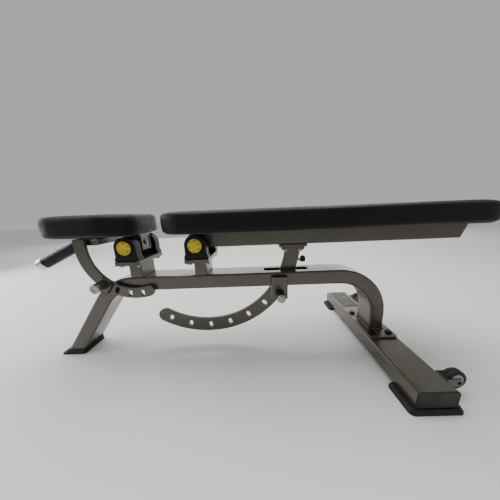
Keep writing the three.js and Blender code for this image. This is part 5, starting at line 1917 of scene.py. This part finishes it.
@dataclass
class BackPin(SpringPin):
    """Backrest pull pin with its pocket bracket and ball knob."""

    plate: float = 5.0
    pocket_depth: float = 12.0
    half_width: float = 25.0
    drop: float = 18.0

    def bracket(self) -> Solid:
        """Pocket bracket folded from plate, open at its top."""
        top = corner_box("back_pin_bracket")[1].z
        x, z = self.arc.first_hole()
        half, plate, inner = self.half_width, self.plate, self.beam_face
        outer = inner - self.pocket_depth - plate
        outline = rounded_rectangle((x - half, outer), (x + half, inner), (5.0, 5.0))
        solid = Solid().plate(outline, z - self.drop, top, 1.2)
        low = (x - half + plate, outer + plate, z - self.drop + plate)
        return solid.cut(Solid().box(low, (x + half - plate, inner + 3.0, top + 5.0), 0.3))

    def barrel_solid(self) -> Solid:
        """Barrel with a stepped collar at its outer end."""
        radius = self.barrel
        profile = [
            (6.4, 0.0), (radius - 1.0, 0.0), (radius, 1.0), (radius, 66.0), (radius - 1.6, 67.6),
            (radius - 1.6, 74.8), (radius - 2.6, 76.0), (4.5, 76.0),
        ]
        return Solid().turned(profile, self.outward(-8.0), closed=True)

    def knob(self) -> Solid:
        """Ball knob with a flat where the stem enters."""
        low, high = corner_box("back_pin_knob")
        x, z = self.arc.first_hole()
        radius = (high.z - low.z) / 2
        centre = (low.y + high.y) / 2
        turns = [math.pi * step / 24 for step in range(22)]
        profile = [(radius * math.sin(turn), -radius * math.cos(turn)) for turn in turns]
        profile += [(5.0, profile[-1][1] + 0.3), (4.4, profile[-1][1] - 1.0), (4.4, 0.0), (0.0, -0.4)]
        return Solid().turned(profile, aim((x, centre, z), (0, 1, 0)))

    def build(self, shop: Workshop) -> None:
        """Makes and fits the pieces."""
        finish = shop.palette
        shop.fix("back_pin_pocket", self.bracket(), finish.paint, "back_pin_bracket")
        shop.fix("back_pin_barrel", self.barrel_solid(), finish.black_steel, "back_pin_bracket")
        shop.fit("back_pin_ball", self.knob(), finish.clear, Body.BACK_PIN, ["back_pin_knob"])
        shop.dress("back_pin", finish.zinc)
        shop.dress("back_pin_spring", finish.zinc)


@dataclass
class SeatPin(SpringPin):
    """Seat pull pin with its hook bracket, barrel and dished button."""

    barrel: float = 15.0
    faces: Pair = (-65.0, -60.0)
    half_width: float = 21.0
    reach: float = 26.0
    plate: float = 5.0

    def bracket(self) -> Solid:
        """Hook bracket with rounded corners, turned to face the seat's pivot."""
        x, z = self.arc.first_hole()
        half, reach = self.half_width, self.reach
        outline = rounded_rectangle((-19.0, -half), (reach, half), (16.0, 6.0), 8)
        turn = Matrix.Rotation(math.radians(self.arc.first_slot), 4, "Y")
        place = Matrix.Translation((x, 0, z)) @ turn
        solid = Solid().plate(outline, *self.faces, 1.0, Plane.XZ)
        web = Solid().box((reach - self.plate, self.faces[0], -half), (reach, self.beam_face, half), 1.0)
        return solid.join(web).moved(place)

    def barrel_solid(self) -> Solid:
        """Barrel with a chamfered mouth."""
        radius = self.barrel
        profile = [
            (6.4, 0.0), (radius - 1.0, 0.0), (radius, 1.0), (radius, 30.0), (radius - 0.8, 32.0),
            (radius - 2.4, 34.0), (4.5, 34.0),
        ]
        return Solid().turned(profile, self.outward(self.faces[1]), closed=True)

    def button(self) -> Solid:
        """Dished button with a rounded rim."""
        outer_end = corner_box("seat_pin")[0].y
        profile = [
            (0.0, 0.0), (13.2, 0.0), (14.3, 0.9), (14.5, 2.4), (14.5, 6.2), (13.8, 8.0), (12.2, 9.0),
            (8.4, 9.0), (6.8, 8.0), (5.6, 6.2), (0.0, 5.8),
        ]
        return Solid().turned(profile, self.outward(outer_end + 9.0))

    def stem(self) -> Solid:
        """Pin, collar and stem inside the barrel."""
        low, high = corner_box("seat_pin")
        x, z = self.arc.first_hole()
        tip = high.y
        solid = Solid().bar(6.0, (x, tip - 11.0, z), (x, tip, z), 1.0)
        solid.bar(9.0, (x, tip - 13.4, z), (x, tip - 9.4, z))
        return solid.bar(4.0, (x, low.y + 8.0, z), (x, tip - 12.0, z))

    def build(self, shop: Workshop) -> None:
        """Makes and fits the pieces."""
        finish = shop.palette
        shop.fix("seat_pin_hook", self.bracket(), finish.paint, "seat_pin_bracket")
        shop.fix("seat_pin_barrel", self.barrel_solid(), finish.paint, "seat_pin_bracket")
        shop.fit("seat_pin_button", self.button(), finish.zinc, Body.SEAT_PIN, ["seat_pin"])
        shop.fit("seat_pin_stem", self.stem(), finish.zinc, Body.SEAT_PIN, ["seat_pin"])
        shop.dress("seat_pin_spring", finish.zinc)


# ---- wheels


@dataclass
class TransportWheel:
    """Fork, tyre and spoked hub of one wheel."""

    label: str
    body: Body
    radius: float = 25.0
    width: float = 20.0
    ribs: int = 5
    fork_half: Pair = (16.0, 10.0)
    cheek: float = 4.0
    axle: float = 4.7

    def centre(self) -> Vector:
        """Centre of the wheel."""
        return middle_of(f"wheel_tyre_{self.label}")

    def tyre(self) -> Solid:
        """Rounded tyre with a shallow middle groove."""
        half, radius = self.width / 2, self.radius
        profile = mirrored([
            (16.3, -half + 0.6), (17.0, -half), (radius - 4.0, -half), (radius - 1.6, -half + 1.0),
            (radius - 0.4, -half + 3.0), (radius, -half + 5.5), (radius, -1.0), (radius - 0.7, -0.5),
        ])
        return Solid().turned(profile, aim(self.centre(), (0, 1, 0)), closed=True, steps=64)

    def hub(self) -> Solid:
        """Hub with a rim, a boss and five ribs on each side."""
        half = self.width / 2
        profile = mirrored([
            (5.0, -half + 0.3), (8.4, -half), (9.0, -half + 0.6), (9.0, -3.0), (13.2, -3.0),
            (13.2, -half + 1.2), (14.0, -half + 0.5), (15.4, -half + 0.5), (16.0, -half + 1.2),
        ])
        centre = self.centre()
        solid = Solid().turned(profile, aim(centre, (0, 1, 0)), closed=True, steps=64)
        for index in range(self.ribs):
            rib = Solid().box((8.5, -half + 2.0, -1.2), (13.6, half - 2.0, 1.2), 0.3)
            rib.moved(Matrix.Translation(centre) @ Matrix.Rotation(2 * math.pi * index / self.ribs, 4, "Y"))
            solid.join(rib)
        return solid

    def fork(self) -> Solid:
        """Folded fork with two cheeks and an axle."""
        back = corner_box(f"wheel_bracket_{self.label}")[0].x
        centre = self.centre()
        middle = centre.y
        half, rise = self.fork_half
        low, high = centre.z - rise, centre.z + rise
        solid = Solid().box((back, middle - half, low), (back + 3.0, middle + half, high), 0.6)
        for side in (-1, 1):
            outline: Outline = [(back, low)]
            outline += arc_points((centre.x, centre.z), rise, -math.pi / 2, math.pi / 2, 20)
            outline += [(back, high)]
            first, second = sorted((middle + side * (half - self.cheek), middle + side * half))
            solid.plate(outline, first, second, 0.7, Plane.XZ)
        solid.bar(self.axle, (centre.x, middle - half, centre.z), (centre.x, middle + half, centre.z))
        return solid

    def build(self, shop: Workshop) -> None:
        """Makes and fits the pieces."""
        finish = shop.palette
        label = self.label
        shop.fix(f"wheel_fork_{label}", self.fork(), finish.paint, f"wheel_bracket_{label}")
        shop.fit(f"wheel_rubber_{label}", self.tyre(), finish.tyre, self.body, [f"wheel_tyre_{label}"])
        shop.fit(f"wheel_spokes_{label}", self.hub(), finish.hub, self.body, [f"wheel_hub_{label}"])


# ---- studio


@dataclass(frozen=True)
class SoftLight:
    """A large light: its place, target and size in metres, and its power in watts."""

    name: str
    place: Triple
    target: Triple
    size: Pair
    power: float
    colour: Colour

    def build(self) -> None:
        """Hangs the light, out of the camera's sight."""
        data = bpy.data.lights.new(self.name, "AREA")
        data.shape = "RECTANGLE"
        data.size, data.size_y = self.size
        data.energy = self.power
        data.color = self.colour
        holder = stand(self.name, data)
        holder.location = self.place
        holder.visible_camera = False
        holder.rotation_mode = "QUATERNION"
        aimed = Vector(self.target) - Vector(self.place)
        holder.rotation_quaternion = aimed.to_track_quat("-Z", "Y")


@dataclass
class Studio:
    """Pale floor, soft lights and the camera."""

    floor_colour: Colour = (0.82, 0.82, 0.81)
    eye: Triple = (0.0308, -0.6301, 0.4510)
    pitch: float = 0.24892
    yaw: float = 0.01391
    roll: float = 0.03965
    focal: float = 14.222
    shift: Pair = (-0.00682, 0.02615)
    surroundings: tuple[float, float, float, float] = (0.93, 0.945, 0.96, 1.0)
    surroundings_strength: float = 0.5
    lights: tuple[SoftLight, ...] = (
        SoftLight("top_light", (0.0, 0.5, 2.4), (0.0, 0.1, 0.3), (2.6, 1.6), 58.0, (1.0, 0.98, 0.94)),
        SoftLight("window_light", (-2.4, 0.3, 0.9), (0.2, 0.0, 0.2), (1.6, 1.2), 30.0, (0.84, 0.91, 1.0)),
        SoftLight("rear_light", (0.0, 3.4, 1.1), (0.0, 0.0, 0.3), (7.0, 2.0), 62.0, (1.0, 0.975, 0.94)),
    )

    def camera(self) -> None:
        """Sets up the camera."""
        right, down, ahead = Vector((1, 0, 0)), Vector((0, 0, -1)), Vector((0, 1, 0))
        cosine, sine = math.cos(self.yaw), math.sin(self.yaw)
        right, ahead = cosine * right + sine * ahead, cosine * ahead - sine * right
        cosine, sine = math.cos(self.pitch), math.sin(self.pitch)
        ahead, down = cosine * ahead + sine * down, cosine * down - sine * ahead
        cosine, sine = math.cos(self.roll), math.sin(self.roll)
        right, down = cosine * right + sine * down, cosine * down - sine * right
        turn = Matrix((right, -down, -ahead)).transposed().to_4x4()
        data = bpy.data.cameras.new("studio_camera")
        data.sensor_width = 36.0
        data.lens = self.focal
        data.shift_x, data.shift_y = self.shift
        data.clip_start = 0.01
        data.clip_end = 60.0
        holder = stand("studio_camera", data)
        holder.matrix_world = Matrix.Translation(self.eye) @ turn
        bpy.context.scene.camera = holder

    def floor(self) -> None:
        """Plain pale floor with a faint mottling."""
        mesh = bmesh.new()
        bmesh.ops.create_grid(mesh, x_segments=2, y_segments=2, size=14.0)
        data = bpy.data.meshes.new("studio_floor")
        mesh.to_mesh(data)
        mesh.free()
        holder = stand("studio_floor", data)
        made = bpy.data.materials.new("studio_floor")
        made.use_nodes = True
        sheet = Sheet(made.node_tree)
        tone = sheet.noise(sheet.place(), 3.0, 3.0)
        low = tuple(value * 0.97 for value in self.floor_colour)
        sheet.set("Base Color", sheet.blend(tone, low, self.floor_colour))
        sheet.set("Roughness", 0.7)
        data.materials.append(made)

    def world(self) -> None:
        """Plain pale surroundings."""
        made = bpy.data.worlds.new("studio_world")
        made.use_nodes = True
        back = made.node_tree.nodes["Background"]
        back.inputs["Color"].default_value = self.surroundings
        back.inputs["Strength"].default_value = self.surroundings_strength
        bpy.context.scene.world = made

    def build(self) -> None:
        """Sets up the whole studio."""
        self.camera()
        self.floor()
        self.world()
        for light in self.lights:
            light.build()


# ---- assembly


def build_bench(shop: Workshop, places: Places) -> None:
    """Builds every sub-assembly in order.

    Args:
        shop: The workshop that fits the pieces.
        places: Key places of the bench.
    """
    palette = shop.palette
    assemblies = [
        MainFrame(places),
        RearCrossbar(places),
        PivotStand(places, "seat", places.seat_x),
        PivotStand(places, "back", places.back_x),
        BackPin(places.back_arc()),
        SeatPin(places.seat_arc()),
        TransportWheel("near", Body.WHEEL_NEAR),
        TransportWheel("far", Body.WHEEL_FAR),
        BackrestFrame(places),
        SeatFrame(places),
        Pad("seat", Body.SEAT, palette.seat_vinyl, 82.0, 82.0, 23.0, 2.0),
        Pad("back", Body.BACKREST, palette.back_vinyl, 82.0, 66.0, 6.0, 3.0, voxel=0.006),
    ]
    for assembly in assemblies:
        LOG.info("building %s", type(assembly).__name__)
        assembly.build(shop)


def main() -> None:
    """Builds the bench and the studio."""
    logging.basicConfig(level=logging.INFO, format="%(name)s: %(message)s")
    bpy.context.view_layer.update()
    shop = Workshop(Palette())
    build_bench(shop, Places.read())
    Studio().build()
    LOG.info("%d pieces made", shop.made)


if __name__ == "__main__":
    main()
